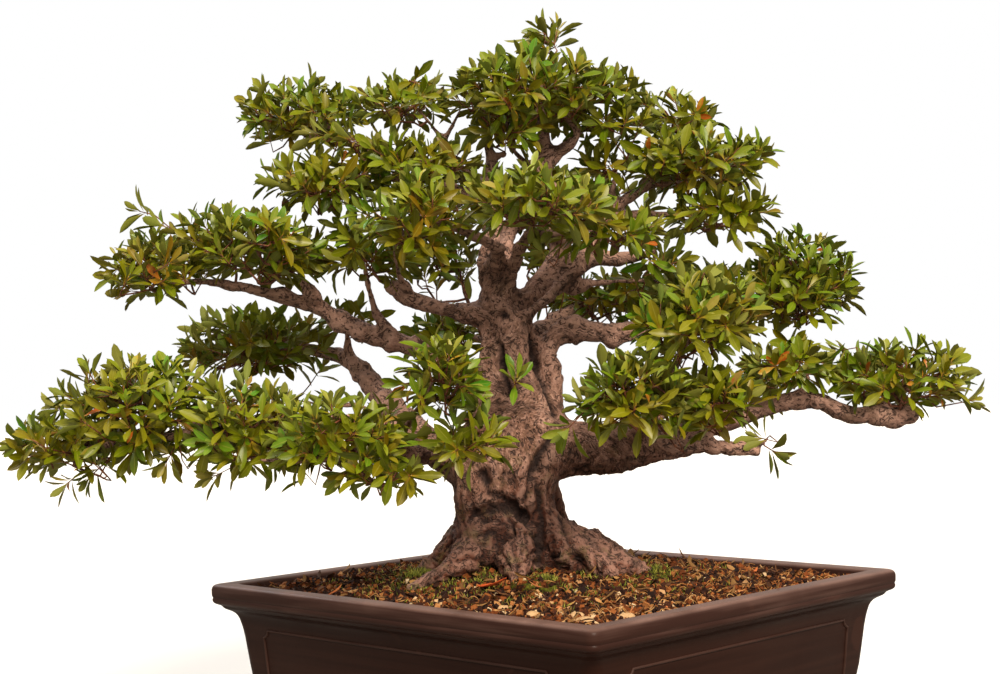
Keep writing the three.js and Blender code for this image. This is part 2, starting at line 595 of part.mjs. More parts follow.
const SOIL_COLUMNS = 24;
const SOIL_RINGS = [0.2, 0.4, 0.6, 0.8, 1];
const CORNER_BLUNT = 2.6;
const SOIL_WALL = [
  [SOIL_EDGE - 3, RIM_WIDTH + 2.6],
  [POT_HEIGHT - 24, RIM_WIDTH + 7.1],
  [POT_HEIGHT - 42, RIM_WIDTH + 10.1],
  [POT_HEIGHT - 80, RIM_WIDTH + 13.6],
  [SOIL_BOTTOM, RIM_WIDTH + 27.2],
];

// Height of the soil at a place in the pot: a mound round the trunk, with small waves.
function soilHeight(x, y) {
  const trunk = seen(TRUNK_X, SOIL_EDGE, 0);
  const away = Math.hypot(x - trunk.x, y - trunk.y);
  const wave = Math.sin(x / 17) * Math.cos(y / 21) + 0.6 * Math.sin((x + y) / 9);
  return SOIL_EDGE + MOUND / (1 + (away / 118) ** 3) + 0.9 * wave;
}

// Point `column` of a rectangle with blunt corners that lies `inset` inside the pot's outline.
function soilRing(inset, z, column) {
  const perSide = SOIL_COLUMNS / 4;
  const side = Math.floor(column / perSide);
  const along = (column % perSide) / perSide;
  const blunt = along ? inset : inset + CORNER_BLUNT;
  const x = POT_LENGTH / 2 - blunt;
  const y = POT_WIDTH / 2 - blunt;
  const corners = [[x, -y], [x, y], [-x, y], [-x, -y], [x, -y]];
  const [x0, y0] = corners[side];
  const [x1, y1] = corners[side + 1];
  return new THREE.Vector3(x0 + (x1 - x0) * along, y0 + (y1 - y0) * along, z);
}

function soilGeometry() {
  const rings = SOIL_RINGS.length;
  const place = (row, column) => {
    if (row >= rings) {
      const [z, inset] = SOIL_WALL[row - rings];
      return soilRing(inset, z, column);
    }
    const at = soilRing(SOIL_WALL[0][1], 0, column).multiplyScalar(SOIL_RINGS[row]);
    at.z = soilHeight(at.x, at.y);
    return at;
  };
  const top = new THREE.Vector3(0, 0, soilHeight(0, 0));
  const bottom = new THREE.Vector3(0, 0, SOIL_BOTTOM);
  return skin(rings + SOIL_WALL.length - 1, SOIL_COLUMNS, place, [top, bottom]);
}

// Moss cushions by the trunk and along the back, as [x, y, half length, half width, height, turn]
// in the pot's frame.
const MOSS = {
  moss_front: [64, -84, 26, 15, 9, 0.4],
  moss_right: [96, 26, 24, 16, 8, 1.3],
  moss_left: [-62, -104, 26, 15, 8, -0.5],
  moss_back: [-66, 96, 28, 17, 9, 0.9],
  moss_rim: [-150, 128, 24, 15, 7, 0.2],
};

// Larger stones on the soil, most of them in the near corner: [x, y, half length, height, turn].
const PEBBLES = [
  [176, -152, 8, 5.5, 0.3],
  [158, -140, 6, 4.5, 1.1],
  [128, -158, 7, 5, 2.0],
  [190, -118, 6.5, 5, 0.8],
  [88, -150, 6, 4.5, 1.7],
  [-120, 70, 6.5, 4.5, 2.6],
];

const MOSS_SUNK = 0.15; // how far a cushion's middle lies under the soil, as a share of its height
const STONE_WIDTH = 0.72; // a stone's width and its height above its middle, as shares of its sizes
const STONE_CROWN = 0.62;
const STONE_PROUD = 0.2;
const STONE_TILT = 0.2;

function cushion([x, y, halfLength, halfWidth, height, turn], grow) {
  const dome = new THREE.IcosahedronGeometry(1, 1);
  dome.scale(halfLength + grow, halfWidth + grow, height + grow);
  dome.rotateZ(turn);
  dome.translate(x, y, soilHeight(x, y) - MOSS_SUNK * height);
  return solid(dome);
}

function pebble([x, y, halfLength, height, turn], grow) {
  const stone = new THREE.IcosahedronGeometry(1, 1);
  stone.scale(halfLength + grow, STONE_WIDTH * halfLength + grow, STONE_CROWN * height + grow);
  stone.rotateX(STONE_TILT);
  stone.rotateZ(turn);
  stone.translate(x, y, soilHeight(x, y) + STONE_PROUD * height);
  return solid(stone);
}

// A fallen leaf, thin and slightly cupped, lying on the soil in front of the trunk.
const LEAF_LENGTH = 25;
const LEAF_WIDTH = 10;
const LEAF_THICKNESS = 0.9;
const LEAF_AT = [38, -112];
const LEAF_TURN = 0.7;
const LEAF_TILT = 0.12;
const LEAF_LIFT = 2.6; // its middle above the soil, so that no part of it touches
const CUP_ACROSS = 0.07; // how its sides and ends curl up, per millimetre squared
const CUP_ALONG = 0.01;

function fallenLeaf() {
  const leaf = new THREE.IcosahedronGeometry(1, 1);
  const position = leaf.attributes.position;
  const [x, y] = LEAF_AT;
  for (let i = 0; i < position.count; i++) {
    const along = (position.getX(i) * LEAF_LENGTH) / 2;
    const across = (position.getY(i) * LEAF_WIDTH) / 2;
    const cup = CUP_ACROSS * across * across + CUP_ALONG * along * along;
    position.setXYZ(i, along, across, (position.getZ(i) * LEAF_THICKNESS) / 2 + cup);
  }
  leaf.rotateX(LEAF_TILT);
  leaf.rotateZ(LEAF_TURN);
  leaf.translate(x, y, soilHeight(x, y) + LEAF_LIFT);
  return leaf;
}

// Assembly

const pot = new THREE.Group();
pot.add(mesh("pot", potSolid(), stoneware));
for (const [i, side] of [1, -1].entries()) {
  const screen = mesh(`drain_screen_${i + 1}`, drainScreen(), screenPlastic);
  screen.position.set((side * DRAIN_SPACING) / 2, 0, SCREEN_Z);
  const wire = new THREE.Mesh(drainWire(), wireMetal);
  wire.name = `drain_wire_${i + 1}`;
  wire.position.set((side * DRAIN_SPACING) / 2, 0, 0);
  pot.add(screen, wire);
}

const rootRoom = rootFlare(FIT_GAP);
const bed = new THREE.Group();
let soil = solid(soilGeometry()).subtract(rootRoom);
for (const [name, sizes] of Object.entries(MOSS)) {
  bed.add(mesh(name, largest(cushion(sizes, 0).subtract(rootRoom)), mossGreen));
  soil = soil.subtract(cushion(sizes, FIT_GAP));
}
for (const [i, sizes] of PEBBLES.entries()) {
  bed.add(mesh(`pebble_${i + 1}`, pebble(sizes, 0), pebbleStone));
  soil = soil.subtract(pebble(sizes, FIT_GAP));
}
bed.add(mesh("soil", largest(soil), soilMix));
bed.add(mesh("fallen_leaf", solid(fallenLeaf()), dryLeaf));

const tree = new THREE.Group();
tree.add(mesh("trunk_and_branches", largest(woodSolid()), bark));
for (const [name, shape] of clumpSolids(wood(FIT_GAP))) tree.add(mesh(name, shape, foliage));

const plant = new THREE.Group();
plant.add(pot, bed, tree);
const middle = new THREE.Box3().setFromObject(plant).getCenter(new THREE.Vector3());
plant.position.set(-middle.x, -middle.y, 0);

const bonsai = new THREE.Group();
bonsai.add(plant);

export default bonsai;
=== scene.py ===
"""Chinzan satsuki azalea bonsai in its stoneware pot: the looks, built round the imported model."""

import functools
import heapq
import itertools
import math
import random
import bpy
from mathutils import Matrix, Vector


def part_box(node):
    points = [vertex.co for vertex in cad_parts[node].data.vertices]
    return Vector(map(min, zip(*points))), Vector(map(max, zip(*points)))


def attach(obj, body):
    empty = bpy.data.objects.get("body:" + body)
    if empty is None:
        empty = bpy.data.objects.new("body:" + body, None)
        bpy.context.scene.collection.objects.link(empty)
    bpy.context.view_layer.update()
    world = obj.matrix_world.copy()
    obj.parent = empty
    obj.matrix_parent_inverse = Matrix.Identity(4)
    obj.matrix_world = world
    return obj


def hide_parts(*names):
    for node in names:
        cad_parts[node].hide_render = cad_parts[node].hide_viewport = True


bl_info = {
    "name": "Satsuki azalea bonsai",
    "version": (1, 0, 0),
    "blender": (4, 5, 0),
    "location": "View3D > Sidebar > Bonsai",
    "description": "Builds the tree, its pot and its soil bed round the fixed frame",
    "category": "Add Mesh",
}

from typing import NamedTuple

import bmesh
import bpy
import numpy as np
from mathutils import Matrix, Vector, noise
from mathutils.bvhtree import BVHTree

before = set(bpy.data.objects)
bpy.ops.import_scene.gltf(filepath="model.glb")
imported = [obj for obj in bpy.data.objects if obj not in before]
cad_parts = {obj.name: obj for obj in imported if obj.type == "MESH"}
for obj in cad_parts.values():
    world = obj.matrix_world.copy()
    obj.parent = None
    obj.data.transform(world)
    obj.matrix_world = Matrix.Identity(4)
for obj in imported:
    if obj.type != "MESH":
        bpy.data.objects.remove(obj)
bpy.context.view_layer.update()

MM = 0.001
UP = Vector((0, 0, 1))

# The pot's outline and the front view that the tree is laid out in

POT_LOW, POT_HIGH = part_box("pot")
POT_MIDDLE = (POT_LOW + POT_HIGH) / 2
POT_HALF_LENGTH = (POT_HIGH.x - POT_LOW.x) / 2
POT_HALF_WIDTH = (POT_HIGH.y - POT_LOW.y) / 2
POT_TOP = POT_HIGH.z
FRONT_TURN = math.radians(44.4)
EYE = Vector((-38.6, -1530, 344)) * MM


def to_part(point):
    """A point of the front view's frame, which stands under the pot's middle, in the part's frame."""
    turned = Matrix.Rotation(FRONT_TURN, 3, "Z") @ Vector(point)
    return turned + Vector((POT_MIDDLE.x, POT_MIDDLE.y, 0))


def seen(x, z, y):
    """A point in mm as it is seen from the front: x across, z up, and y its real depth."""
    spread = 1 + y * MM / -EYE.y
    across = EYE.x + (x * MM - EYE.x) * spread
    up = EYE.z + (z * MM - EYE.z) * spread
    return to_part((across, y * MM, up))


# Colours and sizes


def linear(hex_colour):
    """An sRGB hex colour as the linear RGBA that shaders take."""
    srgb = [int(hex_colour[i : i + 2], 16) / 255 for i in (1, 3, 5)]
    straight = [c / 12.92 if c <= 0.04045 else ((c + 0.055) / 1.055) ** 2.4 for c in srgb]
    return (*straight, 1.0)


def colour(name, description, hex_colour):
    told = {"name": name, "description": description, "default": linear(hex_colour)}
    return bpy.props.FloatVectorProperty(size=4, min=0, max=1, subtype="COLOR", **told)


def length(name, description, millimetres):
    told = {"name": name, "description": description, "default": millimetres * MM}
    return bpy.props.FloatProperty(min=0, subtype="DISTANCE", unit="LENGTH", **told)


def count(name, description, number):
    return bpy.props.IntProperty(name=name, description=description, default=number, min=0)


def strength(name, description, number):
    return bpy.props.FloatProperty(name=name, description=description, default=number, min=0)


class BonsaiWood(bpy.types.PropertyGroup):
    """Sizes and colours of the roots, trunk, branches and twigs."""

    skin: length("Skin", "Width of one cell of the wood's surface", 2.35)
    groove_depth: length("Grooves", "Depth of the folds that run along the trunk", 2.8)
    lump_height: length("Lumps", "Height of the broad swellings", 3.4)
    flake_height: length("Flakes", "Height of the loose plates of bark", 0.6)
    twig_radius: length("Twig radius", "Radius of the youngest twigs", 0.72)
    # also the colour of the painted light on what faces up and on the roots' sunny side
    pale: colour("Pale bark", "Weathered outer skin", "#d2a793")
    pink: colour("Pink bark", "Main tone of the upper trunk", "#946b57")
    grey: colour("Grey bark", "Older bark", "#64422e")
    # also the colour of the painted shade in hollows, round folds and on what faces down
    dark: colour("Dark bark", "Cracks and folds", "#241009")
    rust: colour("Rust bark", "Loose fibres near the roots", "#6a3013")
    algae: colour("Algae", "Green film near the soil", "#5c5c22")
    young: colour("Young twig", "Bark of this year's twigs", "#8f5232")


class BonsaiFoliage(bpy.types.PropertyGroup):
    """Sizes and colours of the shoots and leaves."""

    spacing: length("Spacing", "Distance between neighbouring shoots", 15)
    inset: length("Inset", "Depth of a shoot's tip under the surface of its clump", 12)
    leaf_length: length("Leaf length", "Length of a grown leaf", 25.5)
    leaves: count("Leaves", "Number of leaves on a shoot", 8)
    # also the painted shade of leaves on shoots deep in a clump
    shade: colour("Shade leaf", "Old leaves deep in a clump", "#61630a")
    grown: colour("Grown leaf", "This year's grown leaves", "#7f860b")
    fresh: colour("Fresh leaf", "Leaves that still spread", "#8f9620")
    sprout: colour("Sprout", "Newest leaves at the tips", "#afaa48")
    yellow: colour("Yellow leaf", "Leaves about to fall, and the stalks", "#c8932a")
    orange: colour("Orange leaf", "Leaves that have turned", "#bd5a1c")
    underside: colour("Underside", "Pale lower face of a leaf", "#92974c")


class BonsaiPot(bpy.types.PropertyGroup):
    """Sizes and colours of the stoneware pot."""

    grain: length("Grain", "Width of the clay's grain", 0.9)
    clay: colour("Clay", "Fired body", "#28150f")
    lip: colour("Lip", "The lip's sides", "#35201a")
    # the pale colour of wear and painted sheen on the lip and panel lines, and of the painted highlight
    # along the lip's upper edge
    rubbed: colour("Rubbed clay", "The lip's upper edge and the panel lines", "#8a6d63")
    ash: colour("Ash", "Greyish bloom from the kiln", "#42281f")
    red: colour("Red clay", "The sunk panels", "#481802")


class BonsaiBed(bpy.types.PropertyGroup):
    """Sizes and colours of the soil, stones, moss and litter."""

    granules: count("Granules", "Number of clay granules on the soil", 11800)
    granule: length("Granule", "Mean width of a granule", 3.35)
    litter: count("Litter", "Number of dry scraps between the granules", 900)
    fibres: count("Fibres", "Number of dry curled fibres on the soil", 420)
    blades: count("Blades", "Number of moss shoots", 5600)
    umber: colour("Umber", "Wet granules", "#3d1d0b")
    sienna: colour("Sienna", "Burnt granules", "#854519")
    ochre: colour("Ochre", "Dry granules", "#a86e3b")
    cream: colour("Cream", "Pale stones", "#cda676")
    straw: colour("Straw", "Dry fibres", "#b0793f")
    moss: colour("Moss", "Tips of the moss", "#6e7820")
    moss_shade: colour("Moss shade", "Foot of the moss", "#2f2c0c")
    dry_leaf: colour("Dry leaf", "The fallen leaf", "#c9582a")


class BonsaiStage(bpy.types.PropertyGroup):
    """The floor and the light."""

    floor: colour("Floor", "Pale floor", "#f4f4f2")
    sky: colour("Sky", "Even light from all round", "#fff6ec")
    sky_strength: strength("Sky strength", "Strength of the even light", 0.5)
    key_strength: strength("Key strength", "Strength of the soft light from the front right", 3.9)


# Small tools


def add_node(tree, kind, inputs=None, stops=None, **settings):
    """Adds a node with its settings, and each input as a value, a link from a socket or a link from
    the first socket in use of another node. Stops are a colour ramp's. Sockets that share a name go
    by number: a MapRange takes its value on 0, what it runs from and to on 1 and 2, and what it
    turns them into on 3 and 4; a Mix of colours takes its share on 0 and the colours on 6 and 7."""
    node = tree.nodes.new("ShaderNode" + kind)
    for name, value in settings.items():
        setattr(node, name, value)
    for number, (at, value) in enumerate(stops or []):
        stop = node.color_ramp.elements[number] if number < 2 else node.color_ramp.elements.new(at)
        stop.position, stop.color = at, value
    for socket, value in (inputs or {}).items():
        if isinstance(value, bpy.types.Node):
            value = next(output for output in value.outputs if output.enabled)
        if isinstance(value, bpy.types.NodeSocket):
            tree.links.new(value, node.inputs[socket])
        else:
            node.inputs[socket].default_value = value
    return node


def empty_tree(owner):
    """Clears the nodes of a material or a world, and gives add_node for them."""
    owner.use_nodes = True
    owner.node_tree.nodes.clear()
    return functools.partial(add_node, owner.node_tree)


def new_material(name):
    """A material, add_node for its nodes and the place on the object that its patterns read."""
    material = bpy.data.materials.new(name)
    add = empty_tree(material)
    return material, add, add("TexCoord").outputs["Object"]


def finish(material, surface):
    add_node(material.node_tree, "OutputMaterial", {"Surface": surface})
    return material


def new_object(name, data):
    """An object in the scene, unturned at the origin."""
    made = bpy.data.objects.new(name, data)
    bpy.context.scene.collection.objects.link(made)
    return made


def add_object(name, mesh, material, smooth=True):
    """A piece at the origin that rides with the pot and the tree."""
    mesh.materials.clear()
    mesh.materials.append(material)
    mesh.polygons.foreach_set("use_smooth", [smooth] * len(mesh.polygons))
    piece = new_object(name, mesh)
    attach(piece, "root")
    return piece


def to_mesh(name, shape):
    mesh = bpy.data.meshes.new(name)
    shape.to_mesh(mesh)
    shape.free()
    return mesh


def nodes_named(start):
    """The CAD nodes whose names start with a word, in order."""
    return sorted(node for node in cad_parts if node.startswith(start))


def mesh_shape(mesh):
    shape = bmesh.new()
    shape.from_mesh(mesh)
    return shape


def node_shape(node):
    """A bmesh of a CAD node with its loose triangles joined."""
    shape = mesh_shape(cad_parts[node].data)
    bmesh.ops.remove_doubles(shape, verts=shape.verts, dist=1e-6)
    return shape


def search_tree(shape):
    """Finds the nearest points of a shape, which it uses up."""
    tree = BVHTree.FromBMesh(shape)
    shape.free()
    return tree


def apply_modifiers(piece):
    """Turns what the live modifiers make into the object's own mesh."""
    graph = bpy.context.evaluated_depsgraph_get()
    made = bpy.data.meshes.new_from_object(piece.evaluated_get(graph))
    piece.modifiers.clear()
    spent, piece.data = piece.data, made
    bpy.data.meshes.remove(spent)


def read_rows(items, field, width, kind):
    """One row of numbers for each of a mesh's corners or edges."""
    rows = np.empty(len(items) * width, kind)
    items.foreach_get(field, rows)
    return rows.reshape(-1, width)


def corners_of(mesh):
    return read_rows(mesh.vertices, "co", 3, np.float32).astype(float)


def normals_of(mesh):
    return read_rows(mesh.vertex_normals, "vector", 3, np.float32).astype(float)


def edges_of(mesh):
    return read_rows(mesh.edges, "vertices", 2, np.int32)


def move_corners(mesh, points):
    mesh.vertices.foreach_set("co", points.astype(np.float32).ravel())
    mesh.update()


def store(mesh, name, values, kind="FLOAT", domain="POINT"):
    """Keeps one value for each corner, edge or face under a name that materials can read."""
    attribute = mesh.attributes.new(name, kind, domain)
    field = "vector" if kind == "FLOAT_VECTOR" else "value"
    dtype = bool if kind == "BOOLEAN" else np.float32
    attribute.data.foreach_set(field, np.asarray(values, dtype).ravel())


class Shape(NamedTuple):
    """A small closed form that is copied many times, with the ends of its crisp edges."""

    corners: np.ndarray
    triangles: np.ndarray
    uvs: np.ndarray
    crisp: set


def read_shape(form):
    """Turns a bmesh into a Shape."""
    bmesh.ops.triangulate(form, faces=form.faces)
    form.verts.index_update()
    layer = form.loops.layers.uv.active
    uvs = [loop[layer].uv[:] if layer else (0, 0) for face in form.faces for loop in face.loops]
    shape = Shape(
        np.array([v.co[:] for v in form.verts]),
        np.array([[v.index for v in face.verts] for face in form.faces]),
        np.array(uvs),
        {tuple(sorted(v.index for v in e.verts)) for e in form.edges if not e.smooth},
    )
    form.free()
    return shape


def scatter(name, material, shapes, copies, smooth=True, uv_name=None):
    """One piece made of many copies. Each copy is the number of its shape, its place as `placed`
    gives it, and values by name that the material reads."""
    corners, triangles, uvs, marks, values = [], [], [], [], {}
    base = 0
    for number, shape in enumerate(shapes):
        mine = [(place, told) for which, place, told in copies if which == number]
        if not mine:
            continue
        places = np.array([place for place, _ in mine])
        moved = np.einsum("nij,vj->nvi", places[:, :, :3], shape.corners) + places[:, None, :, 3]
        size = len(shape.corners)
        starts = base + size * np.arange(len(places))
        corners.append(moved.reshape(-1, 3))
        triangles.append((shape.triangles[None] + starts[:, None, None]).reshape(-1, 3))
        uvs.append(np.tile(shape.uvs, (len(places), 1)))
        crisp = np.array(sorted(shape.crisp), int).reshape(-1, 2)
        marks.append((crisp[None] + starts[:, None, None]).reshape(-1, 2))
        for key in mine[0][1]:
            values.setdefault(key, []).append(np.repeat([told[key] for _, told in mine], size))
        base += size * len(places)
    corners, triangles = np.concatenate(corners), np.concatenate(triangles)
    mesh = bpy.data.meshes.new(name)
    mesh.vertices.add(len(corners))
    mesh.vertices.foreach_set("co", corners.astype(np.float32).ravel())
    mesh.loops.add(triangles.size)
    mesh.loops.foreach_set("vertex_index", triangles.astype(np.int32).ravel())
    mesh.polygons.add(len(triangles))
    mesh.polygons.foreach_set("loop_start", np.arange(0, triangles.size, 3, dtype=np.int32))
    mesh.update(calc_edges=True)
    for key, each in values.items():
        store(mesh, key, np.concatenate(each))
    if uv_name:
        layer = mesh.uv_layers.new(name=uv_name)
        layer.data.foreach_set("uv", np.concatenate(uvs).astype(np.float32).ravel())
    sharp = np.concatenate(marks)
    if len(sharp):
        edges = np.sort(edges_of(mesh), axis=1).astype(np.int64)
        found = np.isin(edges[:, 0] * base + edges[:, 1], sharp[:, 0] * base + sharp[:, 1])
        store(mesh, "sharp_edge", found, "BOOLEAN", "EDGE")
    return add_object(name, mesh, material, smooth)


def turn_to(way, side, size):
    """A 3 x 3 turn that puts Y on way and X as near to side as it can be, scaled by size."""
    along = way.normalized()
    across = (side - side.dot(along) * along).normalized()
    out = across.cross(along)
    return Matrix((across * size[0], along * size[1], out * size[2])).transposed()


def placed(turn, at):
    """A turn and a place as the three rows of one matrix."""
    return [[*turn[row], at[row]] for row in range(3)]


# Wood

BARK_ACROSS = 7.5 * MM  # width of the swirls in the bark, round a limb
BARK_ALONG = 13 * MM  # and along it
CRACK_SIZES = ((1.0, 4.6, 0.46), (2.2, 3.6, 0.5))  # fineness, number and spread of each set of cracks
PAINTED_LIGHT_SIDE = Vector((0.62, -0.3, 0.72))  # the side of the roots that is painted paler as if in sunlight, as seen from the front

# Cells of noise in a metre, which each pattern is made of, from its real width
BARK_PATCHES = 34  # 29 mm
BARK_DAMP = 60  # 17 mm
BARK_DRIFT = 90  # 11 mm
BARK_STAINS = 105  # 9.5 mm
TWIG_SPOTS = 420  # 2.4 mm, which is coarser than on a real twig so that it shows

# Where these fade out up the trunk: full below the first height and least above the second
RUST_ZONE = (POT_TOP + 25 * MM, POT_TOP + 150 * MM)
STAIN_ZONE = (POT_TOP + 45 * MM, POT_TOP + 160 * MM)
GREEN_ZONE = (POT_TOP, POT_TOP + 150 * MM)


class WoodRing(NamedTuple):
    """One ring of corners round a limb."""

    centre: Vector
    radius: float


wood_rings = []  # filled by the wood, and read by the twigs that start on it


def bark_material(sizes):
    """Bark of an old azalea: a smooth pinkish skin with short dark cracks, rough and rusty near the soil,
    dull all over. It carries painted shade in its hollows, round its folds and on what faces down, and is
    paler on its ridges with painted light on what faces up and on the roots' sunny side."""
    material, add, place = new_material("azalea_bark")
    across = add("Attribute", attribute_name="across").outputs["Vector"]
    growth = add("Attribute", attribute_name="growth").outputs["Fac"]
    hollow = add("Attribute", attribute_name="hollow").outputs["Fac"]
    girth = add("Attribute", attribute_name="girth").outputs["Fac"]
    height = add("SeparateXYZ", {0: place}).outputs["Z"]
    # cracks: level lines of stretched noise, broken into short curved strokes by more noise
    drift = add("TexNoise", {"Vector": place, "Scale": BARK_DRIFT, "Detail": 2})
    sideways = add("VectorMath", {0: across, "Scale": 1 / BARK_ACROSS}, operation="SCALE")
    bend = {0: drift.outputs["Color"], 1: (1.6, 1.6, 1.6), 2: sideways}
    bent = add("VectorMath", bend, operation="MULTIPLY_ADD")
    along = add("Math", {0: growth, 1: 1 / BARK_ALONG, 2: drift}, operation="MULTIPLY_ADD")
    strokes = []
    for scale, levels, share in CRACK_SIZES:
        swirl = {"Vector": bent, "W": along, "Scale": scale, "Detail": 1.0}
        level = add("TexNoise", swirl, noise_dimensions="4D")
        risen = add("Math", {0: level, 1: levels}, operation="MULTIPLY")
        away = add("Math", {0: risen, 1: 0.5}, operation="PINGPONG")
        line = add("MapRange", {0: away, 1: 0.05, 2: 0.2, 3: 1.0, 4: 0.0})
        gaps = add("TexNoise", {"Vector": place, "Scale": BARK_STAINS * scale, "Detail": 1})
        shown = add("MapRange", {0: gaps, 1: share, 2: share + 0.08})
        strokes.append(add("Math", {0: line, 1: shown}, operation="MULTIPLY"))
    cracks = add("Math", {0: strokes[0], 1: strokes[1]}, operation="MAXIMUM")
    # skin: pink above, greyer in patches, paler on thin limbs
    patches = add("TexNoise", {"Vector": place, "Scale": BARK_PATCHES, "Detail": 5, "Roughness": 0.62})
    grains = {"Vector": bent, "W": along, "Scale": 3.2, "Detail": 4, "Roughness": 0.6}
    grain = add("TexNoise", grains, noise_dimensions="4D")
    tone = add("Math", {0: patches, 1: 0.6, 2: grain}, operation="MULTIPLY_ADD")
    stops = [(0.62, sizes.grey), (0.99, sizes.pale), (0.81, sizes.pink)]
    skin = add("ValToRGB", {0: tone}, stops=stops)
    thin = add("MapRange", {0: girth, 1: 12 * MM, 2: 46 * MM, 3: 0.4, 4: 0.0})
    shaded = add("Mix", {0: thin, 6: skin, 7: sizes.pale}, data_type="RGBA")
    # rust, stains, paler ridges, painted light on what faces up and on the roots' sunny side, and algae,
    # most of them near the soil
    fade = {0: height, 1: RUST_ZONE[0], 2: RUST_ZONE[1], 3: 0.75, 4: -0.1}
    low = add("MapRange", fade, interpolation_type="SMOOTHSTEP")
    rusty = add("Math", {0: patches, 1: 1.4, 2: low}, operation="MULTIPLY_ADD")
    rust = add("MapRange", {0: rusty, 1: 0.85, 2: 1.3, 4: 0.92})
    lower = add("Mix", {0: rust, 6: shaded, 7: sizes.rust}, data_type="RGBA")
    dirt = add("TexNoise", {"Vector": place, "Scale": BARK_STAINS, "Detail": 4, "Roughness": 0.65})
    near_roots = add("MapRange", {0: height, 1: STAIN_ZONE[0], 2: STAIN_ZONE[1], 3: 0.5, 4: 0.2})
    stained = add("MapRange", {0: dirt, 1: 0.5, 2: 0.62})
    stain = add("Math", {0: stained, 1: near_roots}, operation="MULTIPLY")
    dirty = add("Mix", {0: stain, 6: lower, 7: sizes.dark}, data_type="RGBA")
    # paler ridges, and painted light on what faces up and on the roots' sunny side
    ridge = add("Attribute", attribute_name="ridge").outputs["Fac"]
    worn = add("MapRange", {0: ridge, 1: 0.15, 2: 1.0, 4: 0.6})
    ruddy = add("Math", {0: near_roots, 1: 0.6}, operation="MULTIPLY")
    ridge_and_light_tone = add("Mix", {0: ruddy, 6: sizes.pale, 7: sizes.rust}, data_type="RGBA")
    paled_and_lit = add("Mix", {0: worn, 6: dirty, 7: ridge_and_light_tone}, data_type="RGBA")
    damp = add("TexNoise", {"Vector": place, "Scale": BARK_DAMP, "Detail": 6, "Roughness": 0.7})
    wet = add("MapRange", {0: damp, 1: 0.53, 2: 0.63})
    near_soil = add("MapRange", {0: height, 1: GREEN_ZONE[0], 2: GREEN_ZONE[1], 3: 0.55, 4: 0.12})
    film = add("Math", {0: wet, 1: near_soil}, operation="MULTIPLY")
    green = add("Mix", {0: film, 6: paled_and_lit, 7: sizes.algae}, data_type="RGBA")
    # dark cracks, painted shade in hollows, round the folds and on what faces down, and the relief of all
    # of it
    marks = add("Math", {0: cracks, 1: 0.82}, operation="MULTIPLY")
    cracked = add("Mix", {0: marks, 6: green, 7: sizes.dark}, data_type="RGBA")
    # painted shade: darker in hollows, round the folds and on what faces down
    deep = add("Mix", {0: hollow, 6: cracked, 7: sizes.dark}, data_type="RGBA")
    rises = add("Math", {0: dirt, 1: -1.6, 2: grain}, operation="MULTIPLY_ADD")
    relief = add("Math", {0: cracks, 1: -0.8, 2: rises}, operation="MULTIPLY_ADD")
    bump = add("Bump", {"Height": relief, "Strength": 0.9, "Distance": 2.0 * MM})
    rough = add("MapRange", {0: grain, 1: 0.3, 2: 0.7, 3: 0.6, 4: 0.85})
    skin = {"Base Color": deep, "Roughness": rough, "Normal": bump}
    return finish(material, add("BsdfPrincipled", skin))


def growth_along(points, edges, starts):
    """Each corner's distance along the skin from the nearest of the starts."""
    ends = np.concatenate([edges, edges[:, ::-1]])
    steps = np.linalg.norm(points[ends[:, 0]] - points[ends[:, 1]], axis=1)
    order = np.argsort(ends[:, 0], kind="stable")
    first = np.searchsorted(ends[order, 0], np.arange(len(points) + 1)).tolist()
    beside, steps = ends[order, 1].tolist(), steps[order].tolist()
    far = [math.inf] * len(points)
    queue = [(0.0, int(start)) for start in starts]
    for _, start in queue:
        far[start] = 0.0
    while queue:
        distance, corner = heapq.heappop(queue)
        if distance > far[corner]:
            continue
        for at in range(first[corner], first[corner + 1]):
            reached = distance + steps[at]
            if reached < far[beside[at]]:
                far[beside[at]] = reached
                heapq.heappush(queue, (reached, beside[at]))
    return np.array(far)


def smoothed(values, edges, rounds, share):
    """Moves each corner's value towards the mean of its neighbours'."""
    ends = np.concatenate([edges, edges[:, ::-1]])
    number = len(values)
    beside = np.maximum(np.bincount(ends[:, 0], minlength=number), 1)[:, None]
    for _ in range(rounds):
        mean = [np.bincount(ends[:, 0], values[ends[:, 1], k], number) for k in range(values.shape[1])]
        values = values + share * (np.stack(mean, 1) / beside - values)
    return values


def joined(number, pairs):
    """Labels corners that pairs join with the same number, counted up from 0."""
    label = np.arange(number)
    while True:
        before = label.copy()
        lower = np.minimum(label[pairs[:, 0]], label[pairs[:, 1]])
        np.minimum.at(label, pairs[:, 0], lower)
        np.minimum.at(label, pairs[:, 1], lower)
        label = label[label]
        if (label == before).all():
            return np.unique(label, return_inverse=True)[1].reshape(-1)


def find_rings(points, edges, growth, step):
    """Which ring each corner is in, and each ring's centre and radius. A ring is a joined set of
    corners that grew equally far."""
    level = (growth / step).astype(int)
    ring = joined(len(points), edges[level[edges[:, 0]] == level[edges[:, 1]]])
    size = np.bincount(ring)
    centre = np.stack([np.bincount(ring, points[:, k]) / size for k in range(3)], 1)
    radius = np.bincount(ring, np.linalg.norm(points - centre[ring], axis=1)) / size
    return ring, centre, radius


def drop_inner_skins(mesh):
    """Removes the closed pockets inside the wood, which nothing shows."""
    part = joined(len(mesh.vertices), edges_of(mesh))
    if part.max() == 0:
        return
    outer = np.argmax(np.bincount(part))
    shape = mesh_shape(mesh)
    shape.verts.ensure_lookup_table()
    inner = [shape.verts[k] for k in np.flatnonzero(part != outer)]
    bmesh.ops.delete(shape, geom=inner, context="VERTS")
    shape.to_mesh(mesh)
    shape.free()
